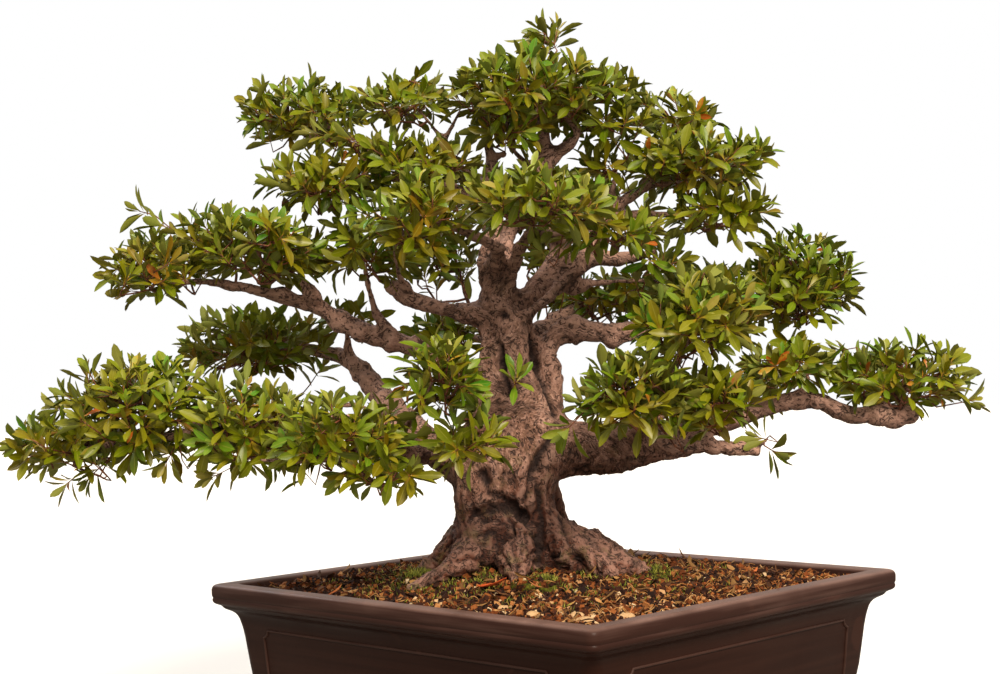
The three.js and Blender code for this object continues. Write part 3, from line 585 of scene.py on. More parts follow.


# Hollows and folds on the front of the trunk, which cut into the wood and put painted shade round
# themselves: width and depth in mm, then points in mm as seen from the front. The points between them lie
# FOLD_STEP mm apart.
FOLD_STEP = 2.5
FOLDS = [
    (4.5, 6.5, (13.9, 279.7), (4.2, 272.3), (-6.2, 258.5), (-12.1, 244.8), (-15.2, 226.7), (-21.1, 213)),
    (4.5, 5.0, (-61.9, 244), (-54.2, 226.2), (-38.6, 217.7), (-24.8, 207.3), (-17.3, 195.8)),
    (6.5, 7.5, (-59.2, 242.2), (-57.4, 236.8)),
    (7.0, 6.0, (-52.1, 212.6), (-42.2, 213.2), (-34.1, 213.1)),
    (7.0, 11.0, (-49.7, 154), (-48.6, 148.7)),
    (9.0, 10.0, (23.6, 164.1), (25.3, 156)),
    (3.6, 4.6, (-9.4, 235.9), (-6.6, 217.9), (-6.6, 199.9), (-8.2, 163.9)),
    (3.6, 4.2, (-35.5, 203.3), (-32.9, 176.4), (-25, 154.1)),
    (3.6, 4.4, (6.2, 227.4), (13.3, 200.6), (17.7, 173.7)),
    (3.4, 3.6, (-55.5, 190), (-59.3, 170), (-62.5, 152)),
    (3.4, 3.8, (-19.5, 189), (-16.2, 172), (-17.8, 150)),
    (4.0, 5.0, (-33.5, 386.5), (-34.6, 386.2)),
    (3.4, 5.0, (-13.8, 340.7), (-13.9, 336)),
    (3.6, 6.0, (-10.1, 366), (-7.9, 338.9), (3.1, 311.5), (8, 296)),
    (3.2, 5.0, (-38.9, 357.8), (-36.6, 330.7), (-31, 315.6)),
    # a wide shallow fold, there for its painted shade, which darkens the middle of the trunk's foot
    (30, 1.0, (-66, 196), (-36, 188), (-6, 190)),
]


def fold_points(mesh):
    """Where the folds meet the wood, with the width and depth of each."""
    tree = search_tree(mesh_shape(mesh))
    eye = to_part(EYE)
    found = []
    for width, depth, *line in FOLDS:
        for start, end in zip(line, line[1:]):
            steps = max(1, round(math.dist(start, end) / FOLD_STEP))
            for step in range(steps + 1):
                share = step / steps
                x, z = (a + (b - a) * share for a, b in zip(start, end))
                spot = tree.ray_cast(eye, (seen(x, z, 0) - eye).normalized())[0]
                if spot is not None:
                    found.append((*spot, width * MM, depth * MM))
    return np.array(found)


def fold_cut(points, folds):
    """How deep the folds cut at each corner, and how dark the painted shade round them makes it."""
    cut, shade = np.zeros(len(points)), np.zeros(len(points))
    for x, y, z, width, depth in folds:
        away = np.linalg.norm(points - (x, y, z), axis=1) / width
        bite = np.exp(-(away**2))
        cut = np.maximum(cut, depth * bite)
        shade = np.maximum(shade, np.exp(-((1.15 * away) ** 2)))
    return cut, shade


# Widths of the forms that are worked into the bark, round a limb and along it
GROOVES = (16 * MM, 85 * MM)
PLATES = (4.6 * MM, 9 * MM)
WRINKLES = (20 * MM, 7.5 * MM)
THICK_LIMB = 22 * MM  # from this radius on, a limb has all of its lumps and grooves
ROOT_HEIGHT = 130 * MM  # the bark is rougher below this height above the pot


def on_bark(across, growth, width):
    """A point of the bark's own space, in which a form of this width is one unit wide."""
    return across / width[0] + Vector((0, 0, growth / width[1]))


def bark_relief(point, across, growth, radius, sizes):
    """How far the bark stands out at a corner."""
    girth = min(1.0, radius / THICK_LIMB)
    low = max(0.0, 1 - (point.z - POT_TOP) / ROOT_HEIGHT)
    lumps = noise.noise(point * 28) * sizes.lump_height * girth
    folded = on_bark(across, growth, GROOVES)
    folds = abs(noise.noise(folded)) + 0.5 * abs(noise.noise(folded * 2.1))
    cut = max(0.0, 1 - folds / 0.3) * sizes.groove_depth * girth * (0.7 + 0.7 * low)
    burl = noise.fractal(point * 62, 0.9, 2.0, 3) * 0.5 * MM * low
    plated = on_bark(across, growth, PLATES) + Vector((3, 7, 0))
    flakes = noise.fractal(plated, 0.8, 2.0, 3) * sizes.flake_height * (0.35 + 0.65 * girth) * (1 + low)
    slim = min(radius, 13 * MM)
    knobbly = 1 - 0.8 * min(1.0, max(0.0, radius / MM - 14) / 14)
    knots = max(0.0, noise.noise(point * 52) - 0.16) * 0.95 * slim * knobbly
    wrinkles = noise.noise(on_bark(across, growth, WRINKLES) + Vector((5, 1, 0))) * 0.075 * slim
    return lumps - cut + burl + flakes + knots + wrinkles


RING_LENGTH = 7 * MM  # along a limb
MELLOWED = 34 * MM  # wood of this radius is smoothed in full, and thinner wood keeps its form
# the painted shade is darkest in a hollow of this depth
HOLLOW = 1.6 * MM  # depth at which a hollow is darkest, and height at which a ridge is palest


def paled_by_ridges_and_light(mesh, points, sunk):
    """How pale each corner is: on ridges, and as painted light on what faces up and on the sunny side of
    the roots.
    """
    normals = normals_of(mesh)
    sunny = normals @ np.array(Matrix.Rotation(FRONT_TURN, 3, "Z") @ PAINTED_LIGHT_SIDE)
    low = np.clip(1 - (points[:, 2] - POT_TOP) / (110 * MM), 0, 1)
    up = np.clip((normals[:, 2] - 0.2) / 0.5, 0, 1)
    # painted light: paler on what faces up, and low down on the roots' side that faces the sun
    lit = 0.7 * up + 0.8 * low * np.clip((sunny - 0.45) / 0.4, 0, 1)
    return np.clip(np.maximum(-sunk / HOLLOW, lit), 0, 1)


def make_wood(sizes):
    """The roots, trunk and branches as one skin that grew together."""
    shape = node_shape("trunk_and_branches")
    wood = add_object("wood", to_mesh("wood", shape), bark_material(sizes))
    skin = wood.modifiers.new("skin", "REMESH")
    skin.mode = "VOXEL"
    skin.voxel_size = sizes.skin
    skin.use_smooth_shade = True
    apply_modifiers(wood)
    mesh = wood.data
    drop_inner_skins(mesh)
    points, edges = corners_of(mesh), edges_of(mesh)
    points = smoothed(points, edges, 3, 0.5)
    growth = growth_along(points, edges, np.flatnonzero(points[:, 2] < POT_TOP - 4 * MM))
    ring, centre, radius = find_rings(points, edges, growth, RING_LENGTH)
    girth = smoothed(radius[ring][:, None], edges, 8, 0.5)
    for _ in range(20):
        points = points + np.minimum(1, girth / MELLOWED) * (smoothed(points, edges, 1, 0.6) - points)
    across = points - smoothed(centre[ring], edges, 12, 0.5)
    move_corners(mesh, points)
    cut, shade = fold_cut(points, fold_points(mesh))
    height = [
        bark_relief(Vector(p), Vector(a), g, r[0], sizes)
        for p, a, g, r in zip(points, across, growth, girth)
    ]
    points = points + normals_of(mesh) * (np.array(height) - cut)[:, None]
    move_corners(mesh, points)
    sunk = ((smoothed(points, edges, 14, 0.7) - points) * normals_of(mesh)).sum(axis=1)
    # painted shade on what faces down
    below = 0.45 * np.clip(-normals_of(mesh)[:, 2], 0, 1)
    store(mesh, "across", across, "FLOAT_VECTOR")
    store(mesh, "growth", growth)
    store(mesh, "girth", girth)
    # painted shade: darker in hollows, round the folds and on what faces down
    store(mesh, "hollow", np.clip(0.7 * np.clip(sunk / HOLLOW, 0, 1) + 0.4 * shade + below, 0, 0.95))
    # paler on ridges, with painted light on what faces up and on the roots' sunny side
    store(mesh, "ridge", paled_by_ridges_and_light(mesh, points, sunk))
    full = np.bincount(ring) >= 6  # a ring of fewer corners is a stray one
    wood_rings[:] = [WoodRing(Vector(c), r) for c, r in zip(centre[full], radius[full])]
    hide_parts("trunk_and_branches")


# Shoots: where each one stands, and the twigs that carry them


class Shoot(NamedTuple):
    """One leafy tip."""

    node: str
    tip: Vector
    way: Vector
    stalk: float
    light: float


CLUMPS = nodes_named("shoots_")
BOXES = {node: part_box(node) for node in CLUMPS}

# Loose shoots that leave the clumps, in mm as seen from the front: foot and tip as x, z, y.
LOOSE_SHOOTS = [
    ("shoots_low_left_tip", (-424, 273, -72), (-456, 264, -74)),
    ("shoots_low_left_tip", (-404, 266, -70), (-434, 244, -72)),
    ("shoots_low_left", (-392, 268, -68), (-412, 250, -68)),
    ("shoots_low_left", (-330, 282, -72), (-342, 262, -78)),
    ("shoots_low_left_inner", (-258, 268, -90), (-300, 248, -96)),
    ("shoots_right_front", (34, 296, -150), (18, 280, -160)),
    ("shoots_right_tip", (352, 292, 4), (384, 297, 6)),
    ("shoots_right_hanging", (196, 262, -12), (208, 254, -16)),
    ("shoots_front_tip", (-30, 314, -44), (-24, 329, -60)),
]

# Thin growth behind the trunk: the clump it counts with, its middle in mm as seen from the front as
# x, z, y, and its half sizes across, up and deep.
BACK_GROWTH = [
    ("shoots_back_upper", (-88, 440, 90), (36, 30, 30)),
    ("shoots_back_centre", (9, 437, 80), (22, 24, 26)),
]

SHELL = 8 * MM  # the outer layer of a clump, where most of its shoots stand
SKIN_LIFT = 16 * MM  # how far slow noise lifts and sinks a clump's skin
NEIGHBOUR = 14 * MM  # a shoot this close to the next clump is often left out
DEEP_LIGHT = 0.15  # share of the light that reaches a shoot deep in a clump

shoots = []  # filled by the twigs, and read by the leaves


def cell_of(spot, gap):
    """The cube of the search grid that a spot lies in."""
    return tuple(int(c // gap) for c in spot)


def stalk_length(chance):
    return chance.uniform(13, 22) * MM


def clump_shoots(node, trees, taken, sizes, chance):
    """Tips spread through a clump, most of them near its skin and few of them underneath. Slow noise
    lifts and sinks the skin so that no clump is a ball."""
    low, high = BOXES[node]
    gap = sizes.spacing
    size = high - low
    tries = int(30 * size.x * size.y * size.z / gap**3)
    middle = (low + high) / 2
    foot = Vector((middle.x, middle.y, low.z))
    found = []
    for _ in range(tries):
        spot = Vector(chance.uniform(low[k] - 6 * MM, high[k] + 6 * MM) for k in range(3))
        near, normal, _, depth = trees[node].find_nearest(spot)
        if (spot - near).dot(normal) > 0:
            depth = -depth
        under = normal.z < -0.3
        lie = 8 * MM * max(0.0, normal.z) - 11 * MM * max(0.0, -normal.z)
        inset = sizes.inset + lie + SKIN_LIFT * noise.noise(spot * 31)
        if depth < inset:
            continue
        shell = depth < inset + SHELL
        keep = (0.65 if under else 1.0) if shell else 0.1
        beyond = near + normal * NEIGHBOUR
        others = (trees[other] for other in trees if other != node and holds(other, beyond))
        if any(is_inside(tree, beyond) for tree in others):
            keep *= 0.5
        if chance.random() > keep or crowded(taken, spot, gap):
            continue
        out = (spot - foot).normalized()
        flat = Vector((out.x, out.y, 0))
        wander = Vector(chance.gauss(0, 0.22) for _ in range(3))
        rise = 0.25 if under else 1.0
        way = (0.3 * normal * (not under) + 0.6 * flat + rise * UP + wander).normalized()
        light = max(0.0, min(1.0, 0.5 + 0.5 * normal.z)) if shell else DEEP_LIGHT
        found.append(Shoot(node, spot, way, stalk_length(chance), light))
    return found


def crowded(taken, spot, gap):
    """Whether another shoot stands within the gap. If none does, the spot is taken."""
    cell = cell_of(spot, gap)
    for step in itertools.product((-1, 0, 1), repeat=3):
        near = tuple(at + by for at, by in zip(cell, step))
        if any((spot - other).length < gap for other in taken.get(near, ())):
            return True
    taken.setdefault(cell, []).append(spot)
    return False


def holds(node, point):
    """Whether a clump's box holds a point."""
    low, high = BOXES[node]
    return all(low[k] < point[k] < high[k] for k in range(3))


def is_inside(tree, point):
    """Whether a point lies inside the closed form that a search tree was made of."""
    near, normal, _, _ = tree.find_nearest(point)
    return (point - near).dot(normal) < 0


def plan_shoots(sizes):
    """Every leafy tip: the loose ones, those of the clumps and the thin growth behind the trunk."""
    chance = random.Random(11)
    trees = {node: search_tree(node_shape(node)) for node in CLUMPS}
    taken = {}
    found = []
    for node, foot, tip in LOOSE_SHOOTS:
        start, end = seen(*foot), seen(*tip)
        found.append(Shoot(node, end, (end - start).normalized(), (end - start).length, 0.7))
        taken.setdefault(cell_of(end, sizes.spacing), []).append(end)
    for node in CLUMPS:
        found += clump_shoots(node, trees, taken, sizes, chance)
    for node, (x, z, y), (wide, tall, deep) in BACK_GROWTH:
        for _ in range(90):
            part = Vector(chance.gauss(0, 0.55) for _ in range(3))
            spot = seen(x + wide * part.x, z + tall * part.z, y + deep * part.y)
            if part.length > 1 or crowded(taken, spot, sizes.spacing):
                continue
            way = (UP + Vector(chance.gauss(0, 0.4) for _ in range(3))).normalized()
            found.append(Shoot(node, spot, way, stalk_length(chance), 0.3))
    return found


TWIG_STEP = 10 * MM  # between the points of a twig
THICKEST_TWIG = 3.2 * MM
SLIM_WOOD = 30 * MM  # twigs leave wood that is thinner than this


class TwigNet:
    """Points that twigs pass through. Each knows the point that it grew from."""

    ROOM = 40000  # points that the twigs may add

    def __init__(self, rings):
        slim = [ring for ring in rings if ring.radius < SLIM_WOOD]
        self.points = np.zeros((len(slim) + self.ROOM, 3))
        self.points[: len(slim)] = [ring.centre for ring in slim]
        self.weight = np.zeros(len(self.points))
        self.weight[: len(slim)] = [0.6 * ring.radius for ring in slim]
        self.source = [-1] * len(slim)
        self.roots = self.size = len(slim)

    def add(self, point, source):
        self.points[self.size] = point
        self.weight[self.size] = self.weight[source] + 0.12 * np.linalg.norm(point - self.points[source])
        self.source.append(source)
        self.size += 1
        return self.size - 1

    def best_start(self, foot, way):
        """The point that a twig to this foot leaves from: near, and behind the way it faces."""
        gap = foot - self.points[: self.size]
        far = np.linalg.norm(gap, axis=1) + 1e-6
        ahead = gap @ way / far
        cost = far * (1.35 - 0.35 * ahead) + self.weight[: self.size]
        return int(np.argmin(cost))


def grow_twigs(net, found, chance):
    """Joins every shoot to the net, the nearest ones first, and returns where each one ends in it."""
    wood = net.points[: net.size]
    reach = [np.min(np.linalg.norm(wood - np.array(s.tip), axis=1)) for s in found]
    ends = [0] * len(found)
    for number in np.argsort(reach, kind="stable"):
        shoot = found[number]
        way = np.array(shoot.way)
        tip = np.array(shoot.tip)
        foot = tip - way * shoot.stalk
        start = net.best_start(foot, way)
        begin = net.points[start].copy()
        far = np.linalg.norm(foot - begin)
        steps = max(1, round(far / TWIG_STEP))
        stray = np.array([chance.gauss(0, 0.06) for _ in range(3)])
        knee = (begin + foot) / 2 - way * min(0.1 * far, 4 * MM) + stray * far
        at = start
        for step in range(1, steps + 1):
            t = step / steps
            point = (1 - t) ** 2 * begin + 2 * t * (1 - t) * knee + t * t * foot
            if step < steps:
                point += np.array([chance.gauss(0, 0.7 * MM) for _ in range(3)])
            at = net.add(point, at)
        ends[number] = net.add(tip, at)
        net.weight[ends[number]] = math.inf
    return ends


def twig_chains(net, ends, thin):
    """Runs of points from the wood to the tips, with a radius at each that grows with the number
    of tips it feeds."""
    load = np.zeros(net.size)
    for end in ends:
        at = end
        while at >= net.roots:
            load[at] += 1
            at = net.source[at]
    radius = np.minimum(thin * np.maximum(load, 1) ** 0.37, THICKEST_TWIG)
    order = sorted(ends, key=lambda end: -net.weight[net.source[end]])
    used = np.zeros(net.size, bool)
    chains = []
    for end in order:
        chain = [end]
        while chain[-1] >= net.roots and not used[chain[-1]]:
            used[chain[-1]] = True
            chain.append(net.source[chain[-1]])
        chain.reverse()
        girths = [radius[at] for at in chain]
        girths[0] = girths[1]
        girths[-1] *= 0.6
        chains.append(([net.points[at] for at in chain], girths))
    return chains


def twig_material(sizes):
    """Twigs: smooth red-brown skin on the young ones, grey and cracked on the older ones."""
    material, add, place = new_material("azalea_twig")
    girth = add("Attribute", attribute_name="girth").outputs["Fac"]
    spots = add("TexNoise", {"Vector": place, "Scale": TWIG_SPOTS, "Detail": 3, "Roughness": 0.6})
    old = add("MapRange", {0: girth, 1: 0.8 * MM, 2: 2.0 * MM})
    aged = add("Mix", {0: old, 6: sizes.young, 7: sizes.pink}, data_type="RGBA")
    dirt = add("MapRange", {0: spots, 1: 0.42, 2: 0.6, 3: 0.7, 4: 0.0})
    marked = add("Mix", {0: dirt, 6: aged, 7: sizes.dark}, data_type="RGBA")
    bump = add("Bump", {"Height": spots, "Strength": 0.6, "Distance": 0.6 * MM})
    skin = {"Base Color": marked, "Roughness": 0.6, "Normal": bump}
    return finish(material, add("BsdfPrincipled", skin))


def sweep(name, runs, sides, closed=False):
    """A mesh of round rods along runs of points, each with its radii."""
    curve = bpy.data.curves.new(name, "CURVE")
    curve.dimensions = "3D"
    curve.bevel_depth = 1
    curve.bevel_resolution = (sides - 4) // 2
    for points, radii in runs:
        line = curve.splines.new("POLY")
        line.points.add(len(points) - 1)
        line.use_cyclic_u = closed
        line.points.foreach_set("co", np.column_stack([points, np.ones(len(points))]).ravel())
        line.points.foreach_set("radius", radii)
    rod = new_object(name, curve)
    bpy.context.view_layer.update()
    graph = bpy.context.evaluated_depsgraph_get()
    shape = bmesh.new()
    shape.from_mesh(rod.evaluated_get(graph).to_mesh())
    bpy.data.objects.remove(rod)
    bpy.data.curves.remove(curve)
    ends = [edge for edge in shape.edges if edge.is_boundary]
    bmesh.ops.holes_fill(shape, edges=ends, sides=sides)
    bmesh.ops.recalc_face_normals(shape, faces=shape.faces)
    return to_mesh(name, shape)


def make_twigs(wood_sizes, leaf_sizes):
    """Places the shoots, and grows the twigs that carry them."""
    shoots[:] = plan_shoots(leaf_sizes)
    net = TwigNet(wood_rings)
    ends = grow_twigs(net, shoots, random.Random(5))
    chains = twig_chains(net, ends, wood_sizes.twig_radius)
    mesh = sweep("twigs", chains, 4)
    girths = np.concatenate([np.repeat(girth, 4) for _, girth in chains])
    if len(girths) != len(mesh.vertices):
        raise RuntimeError("the twigs' corners don't follow their points")
    store(mesh, "girth", girths)
    twigs = add_object("twigs", mesh, twig_material(wood_sizes))


# Leaves

LEAF_WIDTH = 0.3  # of its length
LEAF_THICKNESS = 0.014  # of its length
# From the stalk to the tip: how far along, and how wide there
LEAF_STATIONS = [(0.0, 0.0), (0.2, 0.3), (0.44, 0.76), (0.68, 1.0), (0.88, 0.62), (1.0, 0.0)]
LEAF_FORMS = [(0.05, 0.5), (0.14, 0.35), (0.24, 0.45), (-0.05, 0.6)]  # curl and fold of each form
LEAF_MOTTLE = 240  # cells of noise in a metre: 4 mm
GOLDEN_ANGLE = math.radians(137.5)  # from one leaf to the next round the tip
LEAVES_SPAN = 9 * MM  # along the tip, from its newest leaf to its oldest
TURNED = 0.85  # from this tint on, a leaf is yellow or orange


def leaf_form(curl, fold):
    """A leaf one unit long: a flattened ball with its poles at the stalk and the tip."""
    leaf = bmesh.new()
    bmesh.ops.create_uvsphere(leaf, u_segments=4, v_segments=len(LEAF_STATIONS) - 1, radius=1)
    layer = leaf.loops.layers.uv.new("leaf")
    where = {}
    for corner in leaf.verts:
        station = math.acos(max(-1.0, min(1.0, -corner.co.z))) / math.pi * (len(LEAF_STATIONS) - 1)
        along, wide = LEAF_STATIONS[round(station)]
        side = corner.co.x / max(1e-6, math.hypot(corner.co.x, corner.co.y))
        edge = abs(side) > 0.5
        face = 0 if edge or not wide else -math.copysign(1, corner.co.y)
        where[corner] = (side if edge else 0, along, face)
    for face in leaf.faces:
        under = sum(where[corner][2] for corner in face.verts) < 0
        for loop in face.loops:
            side, along, _ = where[loop.vert]
            loop[layer].uv = (0.5 + 0.5 * side + under, along)
    for corner, (side, along, face) in where.items():
        wide = dict(LEAF_STATIONS)[along]
        across = 0.5 * LEAF_WIDTH * wide * side
        lift = fold * abs(across) + 0.5 * LEAF_THICKNESS * face - curl * along * along
        corner.co = (across, along, lift)
    for edge in leaf.edges:
        edge.smooth = any(where[corner][2] for corner in edge.verts)
    return read_shape(leaf)


def leaf_material(sizes):
    """A small leathery leaf: waxy above, paler and dull below, with a light midrib, and thin enough
    for some light to come through."""
    material, add, place = new_material("azalea_leaf")
    tint = add("Attribute", attribute_name="tint").outputs["Fac"]
    laid_out = add("SeparateXYZ", {0: add("UVMap", uv_map="leaf")})
    across = laid_out.outputs["X"]  # 0 to 1 over the upper face, 1 to 2 over the lower
    mottle = add("TexNoise", {"Vector": place, "Scale": LEAF_MOTTLE, "Detail": 2})
    spread = add("MapRange", {0: mottle, 1: 0.3, 2: 0.7, 3: -0.06, 4: 0.06})
    shifted = add("Math", {0: spread, 1: tint}, operation="ADD")
    stops = [(0.0, sizes.shade), (1.0, sizes.orange), (0.34, sizes.grown), (0.6, sizes.fresh)]
    stops += [(0.82, sizes.sprout), (0.92, sizes.yellow)]
    blade = add("ValToRGB", {0: shifted}, stops=stops)
    under = add("Math", {0: across, 1: 1.0}, operation="GREATER_THAN")
    side = add("Math", {0: across, 1: 0.5}, operation="PINGPONG")
    rib = add("MapRange", {0: side, 1: 0.43, 2: 0.49, 4: 0.45})
    leaning = add("Attribute", attribute_name="hue").outputs["Fac"]
    hue = add("MapRange", {0: leaning, 1: -1.5, 2: 1.5, 3: 0.412, 4: 0.6})
    varied = add("HueSaturation", {"Hue": hue, "Color": blade})
    ribbed = add("Mix", {0: rib, 6: varied, 7: sizes.sprout}, data_type="RGBA")
    at_stalk = add("MapRange", {0: laid_out.outputs["Y"], 1: 0.04, 2: 0.3, 3: 0.75, 4: 0.0})
    stalked = add("Mix", {0: at_stalk, 6: ribbed, 7: sizes.yellow}, data_type="RGBA")
    paled = add("Math", {0: under, 1: 0.5}, operation="MULTIPLY")
    faced = add("Mix", {0: paled, 6: stalked, 7: sizes.underside}, data_type="RGBA")
    gloss = add("MapRange", {0: under, 3: 0.34, 4: 0.58})
    coat = {"Base Color": faced, "Roughness": gloss, "Specular IOR Level": 0.34}
    skin = add("BsdfPrincipled", coat)
    through = add("BsdfTranslucent", {"Color": faced})
    return finish(material, add("MixShader", {0: 0.2, 1: skin, 2: through}))


def shoot_leaves(shoot, sizes, chance):
    """Each leaf's form, place and values: wide old leaves at the foot of the tip, narrow new ones on
    top."""
    number = sizes.leaves + chance.choice((-1, 0, 0, 1, 2))
    side = shoot.way.orthogonal().normalized()
    spin = chance.uniform(0, 2 * math.pi)
    autumn = chance.random() < 0.05
    # painted light and shade: a shoot that gets more light gets fresher, greener leaves, and one deep in a
    # clump gets darker, browner ones
    fresh = chance.uniform(0.0, 0.25) + 0.25 * shoot.light
    green = chance.gauss(0.1 + 0.4 * (shoot.light - 0.7), 0.4)
    for place in range(number):
        age = 1 - place / (number - 1)
        spin += GOLDEN_ANGLE + chance.gauss(0, 0.2)
        lean = math.radians(14 + 52 * age**0.8) + chance.gauss(0, 0.15)
        out = Matrix.Rotation(spin, 3, shoot.way) @ side
        along = math.cos(lean) * shoot.way + math.sin(lean) * out
        along = (along - UP * 0.06 * age).normalized()
        across = along.cross(shoot.way if abs(along.dot(shoot.way)) < 0.98 else out)
        across = Matrix.Rotation(chance.gauss(0, 0.3), 3, along) @ across.normalized()
        size = sizes.leaf_length * (0.6 + 0.4 * min(1, 1.6 * age)) * chance.uniform(0.75, 1.2)
        wide = chance.uniform(0.85, 1.15)
        at = shoot.tip - shoot.way * (LEAVES_SPAN * age) + out * 0.5 * MM
        tint = min(0.84, max(0.0, 0.1 + fresh + 0.28 * (1 - age) + chance.gauss(0, 0.07)))
        if autumn and age > 0.6 and chance.random() < 0.6 or chance.random() < 0.006:
            tint = chance.uniform(0.88, 1.04)
            size *= 0.7
        form = chance.randrange(len(LEAF_FORMS))
        hue = chance.gauss(green, 0.32) if tint < TURNED else 0.0
        where = placed(turn_to(along, across, (size * wide, size, size)), at)
        yield form, where, {"tint": tint, "hue": hue}


def piece_for(node):
    """The leaf piece that a clump's leaves belong to."""
    name = node.removeprefix("shoots_")
    if name.startswith("back"):
        return "leaves_back"
    if name.startswith(("crown", "mid_left_top", "left_top", "right_upper")):
        return "leaves_crown"
    if name.startswith(("centre", "inner", "front", "mid_left")):
        return "leaves_centre"
    return "leaves_left" if "left" in name else "leaves_right"


def make_leaves(sizes):
    """The leaves of all shoots, in one piece for each part of the tree."""
    shapes = [leaf_form(*form) for form in LEAF_FORMS]
    material = leaf_material(sizes)
    chance = random.Random(23)
    leaves = {}
    for shoot in shoots:
        leaves.setdefault(piece_for(shoot.node), []).extend(shoot_leaves(shoot, sizes, chance))
    for name, copies in sorted(leaves.items()):
        piece = scatter(name, material, shapes, copies, uv_name="leaf")
        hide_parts(*[node for node in CLUMPS if piece_for(node) == name])


# Pot

CORNER_STEPS = 8  # edges round each of the outline's corners

# Inset and depth below the rim in mm, with the corner radius, from the middle of the floor round
# the rim and down the outside.
INNER_WALL = [
    (60, 123, 8), (47, 123, 8), (44.5, 121, 8), (42.6, 116, 8), (33, 80, 8), (29.5, 42, 8), (26.5, 24, 7),
    (23.6, 15, 6), (22, 10, 6), (20.9, 6, 6), (20.2, 3, 6), (19.4, 1.4, 6), (18.2, 0.45, 6), (16.6, 0.1, 6),
]
RIM_AND_LIP = [
    (11, 0, 6), (5.6, 0, 7), (3.7, 0.2, 7), (2.2, 0.8, 7.4), (1.1, 1.8, 7.8), (0.4, 3.2, 8), (0.1, 4.8, 8),
    (0.1, 7.5, 8), (0.2, 10.0, 8), (0.6, 11.3, 8), (0.95, 12.1, 8), (0.6, 13.0, 8), (0.5, 14.4, 8),
    (0.9, 15.9, 8), (1.6, 16.9, 8), (2.7, 17.7, 8), (4.0, 18.3, 9), (5.2, 18.9, 9.4), (6.0, 19.7, 9.6),
    (6.5, 20.6, 9.8), (7.1, 21.5, 10), (8.1, 22.3, 10),
]
COVE_AND_WALL = [
    (9.6, 23.2, 10.4), (11.8, 24.4, 10.8), (13.8, 26.2, 11.4), (15.3, 28.6, 12), (16.3, 31.5, 12.6),
    (17.1, 35, 13), (18, 40, 13.6), (19.1, 47.5, 14), (20.3, 58, 14), (21.7, 70, 14), (23.2, 82, 14),
    (25.4, 94, 14), (28.3, 106, 14), (31.9, 117.5, 14), (35.8, 128, 14), (39.2, 133, 14), (41.2, 135, 14),
    (60, 135, 8),
]

# The sunk panels, in mm: depths below the rim, distance from the pot's ends and corner steps
PANEL_TOP = 39.0
PANEL_FOOT = 116.0
PANEL_MARGIN = 57.0
PANEL_STEP = 7.0
LIP_FOOT = 19.0  # mm below the rim
PANEL_LINE = 1.3 * MM  # radius of the raised line

# The feet, in mm: angles with two arms that stand inside the pot's corners
FOOT_ARM = 92.0
FOOT_INSET = 37.0
FOOT_THICKNESS = 17.0
FOOT_HEIGHT = 15.0
FOOT_TOP = 18.0  # a foot runs on into the pot's floor

DRAIN_RADIUS = 14 * MM
DRAIN_OFFSET = 95 * MM  # from the middle of the pot
CORNERS = ((1, 1), (-1, 1), (-1, -1), (1, -1))


def outline_point(inset, radius, column):
    """Point `column` of a rounded rectangle that lies `inset` inside the pot's outline, in mm."""
    per_corner = CORNER_STEPS + 1
    corner, step = divmod(column, per_corner)
    angle = (corner + step / CORNER_STEPS) * math.pi / 2
    side, end = CORNERS[corner]
    x = side * (POT_HALF_LENGTH / MM - inset - radius) + radius * math.cos(angle)
    y = end * (POT_HALF_WIDTH / MM - inset - radius) + radius * math.sin(angle)
    return x * MM + POT_MIDDLE.x, y * MM + POT_MIDDLE.y


def place_ring(ring, station):
    """Moves a ring of corners to a station of the profile."""
    inset, depth, radius = station
    for column, corner in enumerate(ring):
        x, y = outline_point(inset, radius, column)
        corner.co = (x, y, POT_TOP - depth * MM)


def pull_ring(shape, ring, station):
    """Extrudes a ring of edges and moves the new corners to a station of the profile."""
    edges = [e for e in shape.edges if e.is_boundary and e.verts[0] in ring and e.verts[1] in ring]
    made = bmesh.ops.extrude_edge_only(shape, edges=edges)["geom"]
    old = {tuple(corner.co): place for place, corner in enumerate(ring)}
    new = [None] * len(ring)
    for corner in made:
        if isinstance(corner, bmesh.types.BMVert):
            new[old[tuple(corner.co)]] = corner
    place_ring(new, station)
    return new


def pot_shell():
    """The pot's walls and floor, pulled up inside, over the rim and down outside."""
    shape = bmesh.new()
    columns = 4 * (CORNER_STEPS + 1)
    stations = INNER_WALL + RIM_AND_LIP + COVE_AND_WALL
    bmesh.ops.create_circle(shape, cap_ends=True, segments=columns, radius=1)
    shape.verts.ensure_lookup_table()
    ring = list(shape.verts)
    place_ring(ring, stations[0])
    for station in stations[1:]:
        ring = pull_ring(shape, ring, station)
    bmesh.ops.contextual_create(shape, geom=ring)
    bmesh.ops.recalc_face_normals(shape, faces=shape.faces)
    return shape


def turn_shape(shape, corners, angle):
    """Turns corners of a shape about the upright axis through the origin."""
    turn = Matrix.Rotation(angle, 3, "Z")
    bmesh.ops.rotate(shape, verts=corners, cent=(0, 0, 0), matrix=turn)


